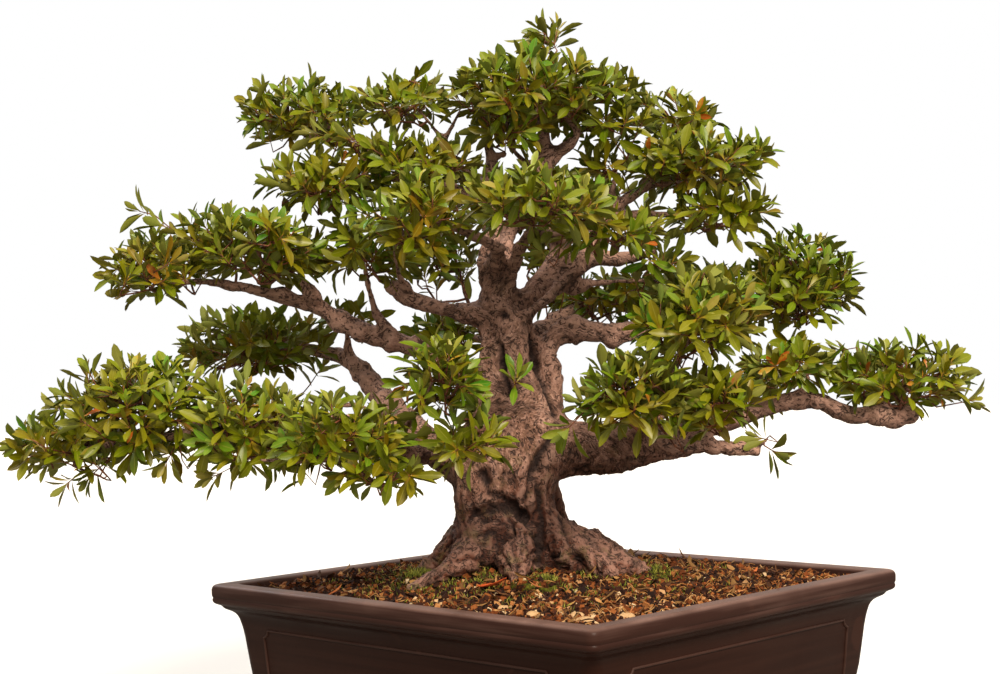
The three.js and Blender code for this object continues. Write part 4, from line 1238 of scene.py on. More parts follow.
def foot_shape(corner):
    """One corner foot: an angle whose arms sweep up at their ends."""
    shape = bmesh.new()
    side, end = CORNERS[corner]
    x = POT_MIDDLE.x + side * (POT_HALF_LENGTH - FOOT_INSET * MM)
    y = POT_MIDDLE.y + end * (POT_HALF_WIDTH - FOOT_INSET * MM)
    sweep_up = [(-14, 0), (-8, 2), (-5, 8), (0, 14), (5, FOOT_TOP)]
    plan = [(0, 0), *[(FOOT_ARM + along, z) for along, z in sweep_up], (0, FOOT_TOP)]
    inward = (0, -FOOT_THICKNESS * MM, 0)
    for turn in (math.pi, -math.pi / 2):
        corners = [shape.verts.new((along * MM, 0, z * MM)) for along, z in plan]
        face = shape.faces.new(corners)
        pulled = bmesh.ops.extrude_face_region(shape, geom=[face])["geom"]
        moved = [g for g in pulled if isinstance(g, bmesh.types.BMVert)]
        bmesh.ops.translate(shape, verts=moved, vec=inward)
        turn_shape(shape, corners + moved, turn)
        if turn > 0:
            bmesh.ops.translate(shape, verts=corners + moved, vec=inward)
    turn_shape(shape, shape.verts, corner * math.pi / 2)
    bmesh.ops.translate(shape, verts=shape.verts, vec=(x, y, 0))
    bmesh.ops.recalc_face_normals(shape, faces=shape.faces)
    return shape


def hole_shape(side):
    """The plug that a drainage hole is cut with."""
    shape = bmesh.new()
    round_plug = {"segments": 40, "radius1": DRAIN_RADIUS, "radius2": DRAIN_RADIUS, "depth": 40 * MM}
    bmesh.ops.create_cone(shape, cap_ends=True, **round_plug)
    middle = (POT_MIDDLE.x + side * DRAIN_OFFSET, POT_MIDDLE.y, FOOT_HEIGHT * MM)
    bmesh.ops.translate(shape, verts=shape.verts, vec=middle)
    return shape


def combine(piece, shape, operation):
    """Joins or cuts a piece by a shape, and removes the tool."""
    tool = new_object("tool", to_mesh("tool", shape))
    cut = piece.modifiers.new("cut", "BOOLEAN")
    cut.operation = operation
    cut.solver = "EXACT"
    cut.use_self = True
    cut.object = tool
    apply_modifiers(piece)
    bpy.data.objects.remove(tool)


def wall_inset(depth):
    """How far the outer wall lies inside the rim at a depth below it, in mm."""
    depths = [station[1] for station in COVE_AND_WALL]
    return float(np.interp(depth, depths, [station[0] for station in COVE_AND_WALL]))


def panel_line(half, turn):
    """The raised line round a sunk panel, with a small step in each corner, on one wall."""
    height = PANEL_FOOT - PANEL_TOP
    step_in = [(1, 0), (0.85, 3), (0.45, 5.6), (0, 6.8)]
    top = [(half - PANEL_STEP * back, down) for back, down in step_in]
    right = top + [(x, height - down) for x, down in reversed(top)]
    loop = right + [(-x, down) for x, down in reversed(right)]
    across = POT_HALF_WIDTH if abs(math.cos(turn)) > 0.5 else POT_HALF_LENGTH
    points = []
    for at, (x, down) in enumerate(loop):
        next_x, next_down = loop[(at + 1) % len(loop)]
        # a point every 6 mm down the curved wall, and every 72 mm along it
        steps = max(1, round(max(abs(next_down - down), abs(next_x - x) / 12) / 6))
        for step in range(steps):
            share = step / steps
            depth = PANEL_TOP + down + (next_down - down) * share
            out = -(across / MM - wall_inset(depth))
            points.append(((x + (next_x - x) * share) * MM, out * MM, POT_TOP - depth * MM))
    turned = [Matrix.Rotation(turn, 3, "Z") @ Vector(p) for p in points]
    return [(p.x + POT_MIDDLE.x, p.y + POT_MIDDLE.y, p.z) for p in turned]


# Cells of noise in a metre, which each pattern is made of, from its real width
CLAY_CLOUDS = 17  # 59 mm
CLAY_STREAKS = 9  # 110 mm, and drawn out along the lip


def clay_material(sizes):
    """Unglazed fired stoneware: a dense dark body with a satin skin and greyish bloom. The lip's upper edge
    has a painted highlight, the lip is paler in streaks of wear and painted sheen, and the sunk panels are
    redder."""
    material, add, place = new_material("stoneware")
    middle = (-POT_MIDDLE.x, -POT_MIDDLE.y, 0)
    at = add("SeparateXYZ", {0: add("Mapping", {"Vector": place, "Location": middle})})
    flat = add("Mapping", {"Vector": place, "Scale": (0.3, 0.3, 8)})
    streaks = add("TexNoise", {"Vector": flat, "Scale": CLAY_STREAKS, "Detail": 4, "Roughness": 0.6})
    clouds = add("TexNoise", {"Vector": place, "Scale": CLAY_CLOUDS, "Detail": 5, "Distortion": 0.6})
    grains = {"Vector": place, "Scale": 1 / sizes.grain, "Detail": 3, "Roughness": 0.7}
    grain = add("TexNoise", grains)
    bloom = add("MapRange", {0: streaks, 1: 0.4, 2: 0.72, 4: 0.5})
    # the sunk panels: between the panel lines on each wall
    top, foot, soft = POT_TOP - PANEL_TOP * MM, POT_TOP - PANEL_FOOT * MM, 1 * MM
    inside = []
    for axis, half in (("X", POT_HALF_LENGTH), ("Y", POT_HALF_WIDTH)):
        away = add("Math", {0: at.outputs[axis]}, operation="ABSOLUTE")
        edge = half - PANEL_MARGIN * MM
        inside.append(add("MapRange", {0: away, 1: edge - soft, 2: edge, 3: 1, 4: 0}))
    either = add("Math", {0: inside[0], 1: inside[1]}, operation="MULTIPLY")
    below = add("MapRange", {0: at.outputs["Z"], 1: top - soft, 2: top, 3: 1, 4: 0})
    above = add("MapRange", {0: at.outputs["Z"], 1: foot, 2: foot + soft})
    tall = add("Math", {0: below, 1: above}, operation="MULTIPLY")
    panel = add("Math", {0: either, 1: tall}, operation="MULTIPLY")
    faint = add("Math", {0: bloom, 1: 0.3}, operation="MULTIPLY")
    sunk = add("Mix", {0: faint, 6: sizes.red, 7: sizes.ash}, data_type="RGBA")
    # the walls and the lip, with bloom in streaks and patches
    patch = add("MapRange", {0: clouds, 1: 0.62, 2: 0.65, 4: 0.45})
    hazed = add("Math", {0: bloom, 1: patch}, operation="MAXIMUM")
    lip_foot = POT_TOP - LIP_FOOT * MM
    on_lip = add("MapRange", {0: at.outputs["Z"], 1: lip_foot - soft, 2: lip_foot})
    bare = add("Mix", {0: on_lip, 6: sizes.clay, 7: sizes.lip}, data_type="RGBA")
    outer = add("Mix", {0: hazed, 6: bare, 7: sizes.ash}, data_type="RGBA")
    plain = add("Mix", {0: panel, 6: outer, 7: sunk}, data_type="RGBA")
    # pale colour: a painted highlight along the rim's edge, and wear and painted sheen in streaks on the
    # lip and on the panel lines
    on_line = add("Attribute", attribute_name="rubbed").outputs["Fac"]
    # painted highlight: the top few millimetres of the rim
    painted_rim_highlight = add("MapRange", {0: at.outputs["Z"], 1: POT_TOP - 3 * MM, 2: POT_TOP - 0.5 * MM})
    streaked = add("MapRange", {0: streaks, 1: 0.44, 2: 0.7, 4: 0.5})
    on_face = add("Math", {0: streaked, 1: on_lip}, operation="MULTIPLY")
    lip_streaks_and_highlight = add("Math", {0: on_face, 1: painted_rim_highlight}, operation="MAXIMUM")
    # wear, painted sheen and the painted highlight together
    worn = add("Math", {0: on_line, 1: lip_streaks_and_highlight}, operation="MAXIMUM")
    wear = add("MapRange", {0: clouds, 1: 0.3, 2: 0.7, 3: 0.35, 4: 1.0})
    share = add("Math", {0: worn, 1: wear}, operation="MULTIPLY")
    body = add("Mix", {0: share, 6: plain, 7: sizes.rubbed}, data_type="RGBA")
    rough = add("MapRange", {0: clouds, 1: 0.3, 2: 0.7, 3: 0.28, 4: 0.46})
    bump = add("Bump", {"Height": grain, "Strength": 0.25, "Distance": 0.3 * MM})
    skin = {"Base Color": body, "Roughness": rough, "Normal": bump, "Specular IOR Level": 0.1}
    return finish(material, add("BsdfPrincipled", skin))


def make_pot(sizes):
    """The fired body with its feet and drainage holes, and the lines round its panels."""
    clay = clay_material(sizes)
    pot = add_object("pot_body", to_mesh("pot_body", pot_shell()), clay)
    for corner in range(4):
        combine(pot, foot_shape(corner), "UNION")
    for side in (1, -1):
        combine(pot, hole_shape(side), "DIFFERENCE")
    soften = pot.modifiers.new("soften", "BEVEL")
    soften.width = 1.1 * MM
    soften.segments = 2
    soften.limit_method = "ANGLE"
    soften.angle_limit = math.radians(50)
    apply_modifiers(pot)
    pot.data.materials.clear()  # of the empty slots that the cuts left
    pot.data.materials.append(clay)
    pot.data.shade_smooth()
    pot.data.set_sharp_from_angle(angle=math.radians(42))
    long = POT_HALF_LENGTH / MM - PANEL_MARGIN
    short = POT_HALF_WIDTH / MM - PANEL_MARGIN
    walls = ((long, 0), (short, math.pi / 2), (long, math.pi), (short, -math.pi / 2))
    runs = [panel_line(*wall) for wall in walls]
    mesh = sweep("pot_panel_lines", [(run, [PANEL_LINE] * len(run)) for run in runs], 8, closed=True)
    # a little of the pale colour on the raised lines, as wear and painted sheen
    store(mesh, "rubbed", np.full(len(mesh.vertices), 0.14))
    lines = add_object("pot_panel_lines", mesh, clay)
    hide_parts("pot")


# Soil bed

# Cells of noise in a metre, which each pattern is made of. Real crumbs and pores are mostly under
# 1 mm, and are drawn coarser so that they show.
SOIL_CRUMBS = 330  # 3 mm
PEAT_CRUMBS = 420  # 2.4 mm
GRIT_PORES = 700  # 1.4 mm
PEAT_PATCHES = 110  # 9 mm
MOSS_SPOTS = 90  # 11 mm
FIBRE_PATCHES = 60  # 17 mm

BED_FACE = POT_TOP - 16 * MM  # all of the bed's top face lies above
BED_LOWEST = POT_TOP - 22 * MM  # nothing is strewn below
PALE_REACH = 0.24  # how far from the near corner the pale granules run
TRUNK_FOOT = seen(-14, 150, 0)


def soil_material(sizes):
    """The dark fine soil that shows between the granules."""
    material, add, place = new_material("soil")
    crumbs = add("TexNoise", {"Vector": place, "Scale": SOIL_CRUMBS, "Detail": 5, "Roughness": 0.7})
    stops = [(0.35, linear("#1b0f08")), (0.75, sizes.sienna), (0.55, sizes.umber)]
    tone = add("ValToRGB", {0: crumbs}, stops=stops)
    bump = add("Bump", {"Height": crumbs, "Strength": 1.0, "Distance": 2 * MM})
    skin = {"Base Color": tone, "Roughness": 0.95, "Normal": bump}
    return finish(material, add("BsdfPrincipled", skin))


def grit_material(name, stops, roughness):
    """Baked clay, stone or dry scraps: each piece has its own tone, with dust in its pores."""
    material, add, place = new_material(name)
    tint = add("Attribute", attribute_name="tint").outputs["Fac"]
    pores = add("TexNoise", {"Vector": place, "Scale": GRIT_PORES, "Detail": 3, "Roughness": 0.7})
    spread = add("MapRange", {0: pores, 1: 0.2, 2: 0.8, 3: -0.1, 4: 0.1})
    varied = add("Math", {0: spread, 1: tint}, operation="ADD")
    tone = add("ValToRGB", {0: varied}, stops=stops)
    bump = add("Bump", {"Height": pores, "Strength": 0.7, "Distance": 0.6 * MM})
    skin = {"Base Color": tone, "Roughness": roughness, "Normal": bump, "Specular IOR Level": 0.25}
    return finish(material, add("BsdfPrincipled", skin))


def chunk_form(chance):
    """A broken granule: a cube with its corners knocked about."""
    chunk = bmesh.new()
    bmesh.ops.create_cube(chunk, size=1)
    for corner in chunk.verts:
        corner.co = Vector(c * chance.uniform(0.55, 1.1) for c in corner.co)
    return read_shape(chunk)


def blade_form(bend):
    """A moss shoot: a thin bent spike."""
    blade = bmesh.new()
    bmesh.ops.create_cone(blade, cap_ends=True, segments=3, radius1=0.5, radius2=0, depth=1)
    for corner in blade.verts:
        if corner.co.z > 0:
            corner.co.x += bend
        corner.co.z += 0.5
    lay = Matrix.Rotation(-math.pi / 2, 3, "X")
    bmesh.ops.rotate(blade, verts=blade.verts, cent=(0, 0, 0), matrix=lay)
    return read_shape(blade)


def any_turn(chance):
    """A way and a side at random, for turn_to."""
    way = Vector(chance.gauss(0, 1) for _ in range(3)).normalized()
    return way, way.orthogonal()


class Ground:
    """Finds open soil. The trunk and the roots stand on the rest."""

    def __init__(self):
        beds = [*nodes_named("moss_"), "soil"]
        self.beds = [search_tree(node_shape(node)) for node in beds]
        self.wood = search_tree(mesh_shape(bpy.data.objects["wood"].data))
        self.low, self.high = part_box("soil")

    def at(self, x, y, clear):
        """The bed's surface at a place, or nothing where wood stands within `clear`."""
        start = Vector((x, y, POT_TOP + 60 * MM))
        hits = [tree.ray_cast(start, -UP) for tree in self.beds]
        spots = [hit[0] for hit in hits if hit[0] is not None and hit[1].z > 0.3]
        spot = max(spots, key=lambda s: s.z, default=None)
        if spot is None or spot.z < BED_LOWEST:
            return None
        if self.wood.find_nearest(spot, clear)[0] is not None:
            return None
        return spot

    def anywhere(self, chance, clear=1.2 * MM):
        """Open soil at random."""
        while True:
            x = chance.uniform(self.low.x, self.high.x)
            y = chance.uniform(self.low.y, self.high.y)
            spot = self.at(x, y, clear)
            if spot is not None:
                return spot


def near_corner(spot):
    """1 at the pot's near corner, falling to 0 in the middle of the bed."""
    corner = Vector((POT_HIGH.x, POT_LOW.y, spot.z))
    return max(0.0, 1 - (spot - corner).length / PALE_REACH)


def make_soil(sizes):
    """The bed, its top face uneven, and the granules on it."""
    shape = node_shape("soil")
    long = [edge for edge in shape.edges if edge.calc_length() > 6 * MM]
    top = [edge for edge in long if min(end.co.z for end in edge.verts) > BED_FACE]
    bmesh.ops.subdivide_edges(shape, edges=top, cuts=3, use_grid_fill=True)
    bmesh.ops.triangulate(shape, faces=shape.faces)
    for corner in shape.verts:
        if corner.co.z > POT_TOP - 13 * MM:
            corner.co.z += 0.9 * MM * noise.noise(corner.co * 160) - 0.3 * MM
    soil = add_object("soil_body", to_mesh("soil_body", shape), soil_material(sizes))
    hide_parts("soil")
    make_granules(sizes)


def make_granules(sizes):
    chance = random.Random(41)
    open_soil = Ground()
    forms = [chunk_form(chance) for _ in range(6)]
    copies = []
    for _ in range(sizes.granules):
        spot = open_soil.anywhere(chance)
        corner = near_corner(spot)
        wide = sizes.granule * min(1.9, chance.lognormvariate(-0.08, 0.38))
        pale = chance.random() < 0.04 + 0.26 * corner
        tint = chance.uniform(0.72, 1.0) if pale else chance.betavariate(1.05, 2.0) * 0.84
        wide *= 0.75 if pale else 1.0
        way, side = any_turn(chance)
        size = (wide, wide * chance.uniform(0.6, 1.0), wide * chance.uniform(0.5, 0.9))
        lift = wide * chance.uniform(-0.2, 0.42)
        place = placed(turn_to(way, side, size), spot + UP * lift)
        copies.append((chance.randrange(len(forms)), place, {"tint": tint}))
    stops = [
        (0.0, linear("#1c0d07")),
        (1.0, linear("#e3cba2")),
        (0.28, sizes.umber),
        (0.48, sizes.sienna),
        (0.68, sizes.ochre),
        (0.84, sizes.cream),
    ]
    material = grit_material("baked_clay", stops, 0.85)
    granules = scatter("soil_granules", material, forms, copies, smooth=False)


def litter_material(sizes):
    """Dry scraps of leaf, twig and bark."""
    stops = [
        (0.0, linear("#2b1a10")),
        (1.0, sizes.dry_leaf),
        (0.35, linear("#5f3c22")),
        (0.62, linear("#96703f")),
        (0.85, linear("#c08f56")),
    ]
    return grit_material("dry_litter", stops, 0.8)


def make_litter(sizes):
    """Dry scraps, fibres and the fallen leaf."""
    chance = random.Random(77)
    open_soil = Ground()
    forms = [leaf_form(0.3, 0.5), leaf_form(-0.25, -0.4), leaf_form(0.1, 0.1)]
    copies = []
    for _ in range(sizes.litter):
        spot = open_soil.anywhere(chance, 2 * MM)
        angle = chance.uniform(0, 2 * math.pi)
        way = Vector((math.cos(angle), math.sin(angle), chance.gauss(0.05, 0.22)))
        side = Vector((-way.y, way.x, chance.gauss(0, 0.5)))
        long = chance.uniform(6, 17) * MM
        wide = long * chance.choice((0.35, 0.5, 0.9, 1.2))
        lift = chance.uniform(1.5, 3.2) * MM
        which = chance.randrange(len(forms))
        place = placed(turn_to(way, side, (wide, long, long)), spot + UP * lift)
        copies.append((which, place, {"tint": chance.betavariate(1.5, 1.6)}))
    litter = scatter("litter", litter_material(sizes), forms, copies, uv_name="leaf")
    make_fibres(sizes)
    make_fallen_leaf(sizes)


def refined(node, name, material, cuts, height, grain):
    """A CAD node's form, made finer and uneven, as a piece that stands for it."""
    shape = node_shape(node)
    bmesh.ops.subdivide_edges(shape, edges=shape.edges, cuts=cuts, smooth=0.8, use_grid_fill=True)
    bmesh.ops.triangulate(shape, faces=shape.faces)
    shape.normal_update()
    moves = [(v, v.normal * height * noise.fractal(v.co / grain, 0.9, 2.0, 3)) for v in shape.verts]
    for corner, move in moves:
        corner.co += move
    piece = add_object(name, to_mesh(name, shape), material)
    store(piece.data, "tint", np.full(len(piece.data.vertices), 0.5))
    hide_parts(node)
    return piece


def fibre_material(sizes):
    """Dried roots and moss stems: thin matt fibres, bleached in places."""
    material, add, place = new_material("dry_fibre")
    patches = add("TexNoise", {"Vector": place, "Scale": FIBRE_PATCHES, "Detail": 2})
    stops = [(0.36, linear("#5a3319")), (0.66, linear("#cfa066")), (0.5, sizes.straw)]
    tone = add("ValToRGB", {0: patches}, stops=stops)
    skin = {"Base Color": tone, "Roughness": 0.85, "Specular IOR Level": 0.25}
    return finish(material, add("BsdfPrincipled", skin))


def make_fibres(sizes):
    """Short fibres that curl over the granules, most of them right of the trunk."""
    chance = random.Random(19)
    open_soil = Ground()
    right = (seen(60, 150, 0) - TRUNK_FOOT).normalized()
    runs = []
    while len(runs) < sizes.fibres:
        spot = open_soil.anywhere(chance, 3 * MM)
        if (spot - TRUNK_FOOT).dot(right) / 0.15 < chance.uniform(-1.2, 0.8):
            continue
        heading = chance.uniform(0, 2 * math.pi)
        curl = chance.uniform(0.25, 0.9) * chance.choice((-1, 1))
        step = chance.uniform(1.3, 2.9) * MM
        arch = chance.uniform(1.5, 5) * MM
        points = []
        for i in range(6):
            points.append(spot + UP * (1.2 * MM + arch * math.sin(math.pi * i / 5)))
            spot = spot + step * Vector((math.cos(heading), math.sin(heading), 0))
            heading += curl
        thick = chance.uniform(0.25, 0.5) * MM
        runs.append((np.array(points), [thick * share for share in (0.5, 0.9, 1, 1, 0.8, 0.4)]))
    fibres = add_object("litter_fibres", sweep("litter_fibres", runs, 4), fibre_material(sizes))


def make_fallen_leaf(sizes):
    """The dry orange leaf, with its edges curled."""
    stops = [(0.0, linear("#8a3312")), (1.0, linear("#f0a050")), (0.5, sizes.dry_leaf)]
    material = grit_material("fallen_leaf_skin", stops, 0.55)
    leaf = refined("fallen_leaf", "dry_leaf", material, 1, 0.3 * MM, 6 * MM)
    low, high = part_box("fallen_leaf")
    middle = (low + high) / 2
    half = max(high - low) / 2
    for corner in leaf.data.vertices:
        away = (corner.co.x - middle.x) / half
        corner.co.z += (2 * away * away + 3 * away + 2) * MM


def make_pebbles(sizes):
    """The larger loose stones, pale and worn round."""
    stops = [(0.0, linear("#8a6a45")), (1.0, linear("#f2e6cc")), (0.5, sizes.cream)]
    material = grit_material("pebble_stone", stops, 0.6)
    for node in nodes_named("pebble_"):
        stone = refined(node, node.replace("pebble", "stone"), material, 2, 0.7 * MM, 5 * MM)


def moss_material(sizes):
    """Living moss: bright tips over a dark foot."""
    material, add, place = new_material("moss")
    tint = add("Attribute", attribute_name="tint").outputs["Fac"]
    spots = add("TexNoise", {"Vector": place, "Scale": MOSS_SPOTS, "Detail": 3})
    spread = add("MapRange", {0: spots, 1: 0.2, 2: 0.8, 3: -0.25, 4: 0.25})
    varied = add("Math", {0: spread, 1: tint}, operation="ADD")
    stops = [(0.1, sizes.moss_shade), (0.95, linear("#b3ac48")), (0.55, sizes.moss)]
    tone = add("ValToRGB", {0: varied}, stops=stops)
    skin = {"Base Color": tone, "Roughness": 0.75, "Specular IOR Level": 0.3}
    return finish(material, add("BsdfPrincipled", skin))


def peat_material(sizes):
    """The peaty mat that moss grows from: brown crumbs with green between them."""
    material, add, place = new_material("moss_peat")
    crumbs = add("TexNoise", {"Vector": place, "Scale": PEAT_CRUMBS, "Detail": 4, "Roughness": 0.7})
    patches = add("TexNoise", {"Vector": place, "Scale": PEAT_PATCHES, "Detail": 3})
    brown = [(0.38, linear("#21130a")), (0.68, sizes.sienna), (0.54, sizes.umber)]
    green = [(0.38, sizes.moss_shade), (0.66, sizes.moss)]
    earth = add("ValToRGB", {0: crumbs}, stops=brown)
    living = add("ValToRGB", {0: crumbs}, stops=green)
    covered = add("MapRange", {0: patches, 1: 0.46, 2: 0.56, 4: 0.85})
    tone = add("Mix", {0: covered, 6: earth, 7: living}, data_type="RGBA")
    bump = add("Bump", {"Height": crumbs, "Strength": 1.0, "Distance": 2 * MM})
    skin = {"Base Color": tone, "Roughness": 0.95, "Normal": bump, "Specular IOR Level": 0.2}
    return finish(material, add("BsdfPrincipled", skin))


def make_moss(sizes):
    """The cushions' peaty mats, and moss shoots on them and round the trunk's foot."""
    chance = random.Random(3)
    peat = peat_material(sizes)
    open_soil = Ground()
    forms = [blade_form(bend) for bend in (0, 0.35, 0.7)]
    mats = []
    for node in nodes_named("moss_"):
        cushion = refined(node, node.replace("moss", "cushion"), peat, 3, 2.2 * MM, 5 * MM)
        low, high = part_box(node)
        mats.append(((low + high) / 2, (high - low) / 2))
    copies = []
    while len(copies) < sizes.blades:
        on_mat = chance.random() < 0.3
        if on_mat:
            middle, half = chance.choice(mats)
            across, deep = (chance.triangular(-1, 1) for _ in range(2))
            x, y = middle.x + half.x * across, middle.y + half.y * deep
        else:
            angle = chance.uniform(0, 2 * math.pi)
            away = chance.triangular(45, 205, 70) * MM
            x, y = TRUNK_FOOT.x + away * math.cos(angle), TRUNK_FOOT.y + away * math.sin(angle)
        spot = open_soil.at(x, y, 0.5 * MM)
        if spot is None:
            continue
        cover = noise.noise(spot * 48) + 0.4 * noise.noise(spot * 140) + (0.35 if on_mat else 0)
        if cover < chance.uniform(-0.05, 0.3):
            continue
        way = (UP + Vector(chance.gauss(0, 0.55) for _ in range(3))).normalized()
        tall = chance.uniform(2.6, 6.5) * MM
        wide = tall * chance.uniform(0.25, 0.42)
        side = Vector((chance.gauss(0, 1), chance.gauss(0, 1), 0))
        which = chance.randrange(len(forms))
        place = placed(turn_to(way, side, (wide, tall, 0.45 * wide)), spot + UP * 0.8 * MM)
        copies.append((which, place, {"tint": chance.betavariate(2, 1.7)}))
    blades = scatter("moss_blades", moss_material(sizes), forms, copies)


# Drainage

DUST_SPOTS = 380  # cells of noise in a metre, for spots of 2.6 mm


def worn_material(name, dark, light, **skin):
    """A small fitting with dust or tarnish on it."""
    material, add, place = new_material(name)
    dust = add("TexNoise", {"Vector": place, "Scale": DUST_SPOTS, "Detail": 4})
    tone = add("ValToRGB", {0: dust}, stops=[(0.4, linear(dark)), (0.75, linear(light))])
    return finish(material, add("BsdfPrincipled", {"Base Color": tone, **skin}))


def make_drainage():
    """The mesh squares and wire staples keep their CAD forms and get their real finishes: black
    moulded plastic with soil dust, and annealed wire gone dull."""
    plastic = worn_material("moulded_mesh", "#181a18", "#4a4238", Roughness=0.55)
    wire = worn_material("annealed_wire", "#5d4a3c", "#a58f7c", Roughness=0.42, Metallic=1.0)
    for node in nodes_named("drain_"):
        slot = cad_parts[node].material_slots[0]
        slot.material = plastic if "screen" in node else wire


# Stage

LENS = 61.2  # mm on a 36 mm sensor
CAMERA_PITCH = math.radians(0.836)
CAMERA_ROLL = math.radians(-1.65)


def make_camera():
    data = bpy.data.cameras.new("camera")
    data.lens = LENS
    data.sensor_width = 36
    camera = new_object("camera", data)
    turn = (
        Matrix.Rotation(FRONT_TURN, 4, "Z")
        @ Matrix.Rotation(math.pi / 2 + CAMERA_PITCH, 4, "X")
        @ Matrix.Rotation(CAMERA_ROLL, 4, "Z")
    )
    camera.matrix_world = Matrix.Translation(to_part(EYE)) @ turn
    bpy.context.scene.camera = camera


def add_sun(name, way, spread, strength, hex_colour):
    """A soft light from far away that shines along `way` in the front view's frame."""
    data = bpy.data.lights.new(name, "SUN")
    data.angle = math.radians(spread)
    data.energy = strength
    data.color = linear(hex_colour)[:3]
    light = new_object(name, data)
    shine = Matrix.Rotation(FRONT_TURN, 3, "Z") @ Vector(way)
    light.matrix_world = shine.to_track_quat("-Z", "Y").to_matrix().to_4x4()


def make_stage(sizes):
    """A pale floor and sky. What the camera sees of them is lighter than what falls on the tree."""
    material, add, _ = new_material("pale_floor")
    in_view = add("LightPath").outputs["Is Camera Ray"]
    tone = add("Mix", {0: in_view, 6: linear("#8c8780"), 7: sizes.floor}, data_type="RGBA")
    finish(material, add("BsdfPrincipled", {"Base Color": tone, "Roughness": 0.9}))
    shape = bmesh.new()
    bmesh.ops.create_circle(shape, cap_ends=True, segments=96, radius=9)
    floor = new_object("floor", to_mesh("floor", shape))
    floor.data.materials.append(material)
    world = bpy.data.worlds.new("studio")
    add = empty_tree(world)
    in_view = add("LightPath").outputs["Is Camera Ray"]
    strength = add("MapRange", {0: in_view, 3: sizes.sky_strength, 4: 1.0})
    shown = add("Mix", {0: in_view, 6: sizes.sky, 7: (1, 1, 1, 1)}, data_type="RGBA")
    background = add("Background", {"Color": shown, "Strength": strength})
    add("OutputWorld", {"Surface": background})
    scene = bpy.context.scene
    scene.world = world
    scene.view_settings.view_transform = "Standard"
    scene.view_settings.look = "None"
    add_sun("key", (-0.3, 0.88, -0.72), 26, sizes.key_strength, "#fff1e0")
    add_sun("rim", (0.5, -0.7, -0.9), 40, 0.25 * sizes.key_strength, "#f6f8ff")
    add_sun("overhead", (0, 0, -1), 120, 0.22 * sizes.key_strength, "#fffaf2")
    make_camera()


# Operators


class BONSAI_OT_wood(bpy.types.Operator):
    """Skin the roots, trunk and branches and work the bark into them"""

    bl_idname = "bonsai.wood"
    bl_label = "Wood"

    def execute(self, context):
        make_wood(context.scene.bonsai_wood)
        return {"FINISHED"}


class BONSAI_OT_twigs(bpy.types.Operator):
    """Place the shoots and grow the twigs that carry them"""

    bl_idname = "bonsai.twigs"
    bl_label = "Twigs"

    def execute(self, context):
        if not wood_rings:
            raise RuntimeError("the twigs start on the wood, so it is made first")
        make_twigs(context.scene.bonsai_wood, context.scene.bonsai_foliage)
        return {"FINISHED"}


class BONSAI_OT_leaves(bpy.types.Operator):
    """Put the leaves on the shoots"""

    bl_idname = "bonsai.leaves"
    bl_label = "Leaves"

    def execute(self, context):
        if not shoots:
            raise RuntimeError("the leaves sit on the shoots, so the twigs are made first")
        make_leaves(context.scene.bonsai_foliage)
        return {"FINISHED"}


class BONSAI_OT_pot(bpy.types.Operator):
    """Make the stoneware pot with its lip, panels and feet"""

    bl_idname = "bonsai.pot"
    bl_label = "Pot"

    def execute(self, context):
        make_pot(context.scene.bonsai_pot)
        return {"FINISHED"}


class BONSAI_OT_soil(bpy.types.Operator):
    """Make the soil and the granules on it"""

    bl_idname = "bonsai.soil"
    bl_label = "Soil"

    def execute(self, context):
        make_soil(context.scene.bonsai_bed)
        return {"FINISHED"}


class BONSAI_OT_litter(bpy.types.Operator):
    """Strew the dry scraps and the fallen leaf"""

    bl_idname = "bonsai.litter"
    bl_label = "Litter"

    def execute(self, context):
        make_litter(context.scene.bonsai_bed)
        return {"FINISHED"}


class BONSAI_OT_stones(bpy.types.Operator):
    """Make the larger stones"""

    bl_idname = "bonsai.stones"
    bl_label = "Stones"

    def execute(self, context):
        make_pebbles(context.scene.bonsai_bed)
        return {"FINISHED"}


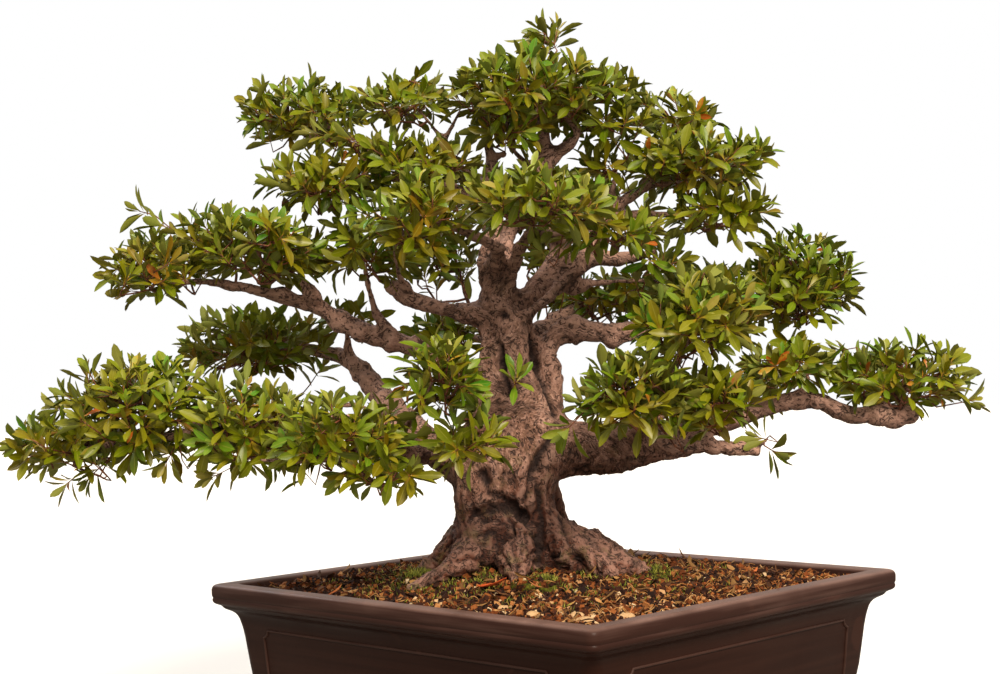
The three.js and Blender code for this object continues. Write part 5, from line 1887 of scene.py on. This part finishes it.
class BONSAI_OT_moss(bpy.types.Operator):
    """Grow the moss cushions and blades"""

    bl_idname = "bonsai.moss"
    bl_label = "Moss"

    def execute(self, context):
        make_moss(context.scene.bonsai_bed)
        return {"FINISHED"}


class BONSAI_OT_drainage(bpy.types.Operator):
    """Finish the drainage screens and their wires"""

    bl_idname = "bonsai.drainage"
    bl_label = "Drainage"

    def execute(self, context):
        make_drainage()
        return {"FINISHED"}


class BONSAI_OT_stage(bpy.types.Operator):
    """Set the floor, the light and the camera"""

    bl_idname = "bonsai.stage"
    bl_label = "Stage"

    def execute(self, context):
        make_stage(context.scene.bonsai_stage)
        return {"FINISHED"}


STEPS = (
    BONSAI_OT_stage,
    BONSAI_OT_wood,
    BONSAI_OT_twigs,
    BONSAI_OT_leaves,
    BONSAI_OT_pot,
    BONSAI_OT_soil,
    BONSAI_OT_litter,
    BONSAI_OT_stones,
    BONSAI_OT_moss,
    BONSAI_OT_drainage,
)


GROUPS = {
    "bonsai_wood": BonsaiWood,
    "bonsai_foliage": BonsaiFoliage,
    "bonsai_pot": BonsaiPot,
    "bonsai_bed": BonsaiBed,
    "bonsai_stage": BonsaiStage,
}


class BONSAI_PT_panel(bpy.types.Panel):
    """The steps of the bonsai, in order"""

    bl_idname = "BONSAI_PT_panel"
    bl_label = "Bonsai"
    bl_space_type = "VIEW_3D"
    bl_region_type = "UI"
    bl_category = "Bonsai"

    def draw(self, context):
        for step in STEPS:
            self.layout.operator(step.bl_idname)
        for name in GROUPS:
            box = self.layout.box()
            group = getattr(context.scene, name)
            for key in group.bl_rna.properties.keys():
                if key not in ("rna_type", "name"):
                    box.prop(group, key)


CLASSES = (*GROUPS.values(), *STEPS, BONSAI_PT_panel)


def register():
    for kind in CLASSES:
        bpy.utils.register_class(kind)
    for name, kind in GROUPS.items():
        setattr(bpy.types.Scene, name, bpy.props.PointerProperty(type=kind))


def unregister():
    for name in GROUPS:
        delattr(bpy.types.Scene, name)
    for kind in reversed(CLASSES):
        bpy.utils.unregister_class(kind)


def main():
    register()
    for step in STEPS:
        name = step.bl_idname.split(".")[1]
        getattr(bpy.ops.bonsai, name)()


if __name__ == "__main__":
    main()
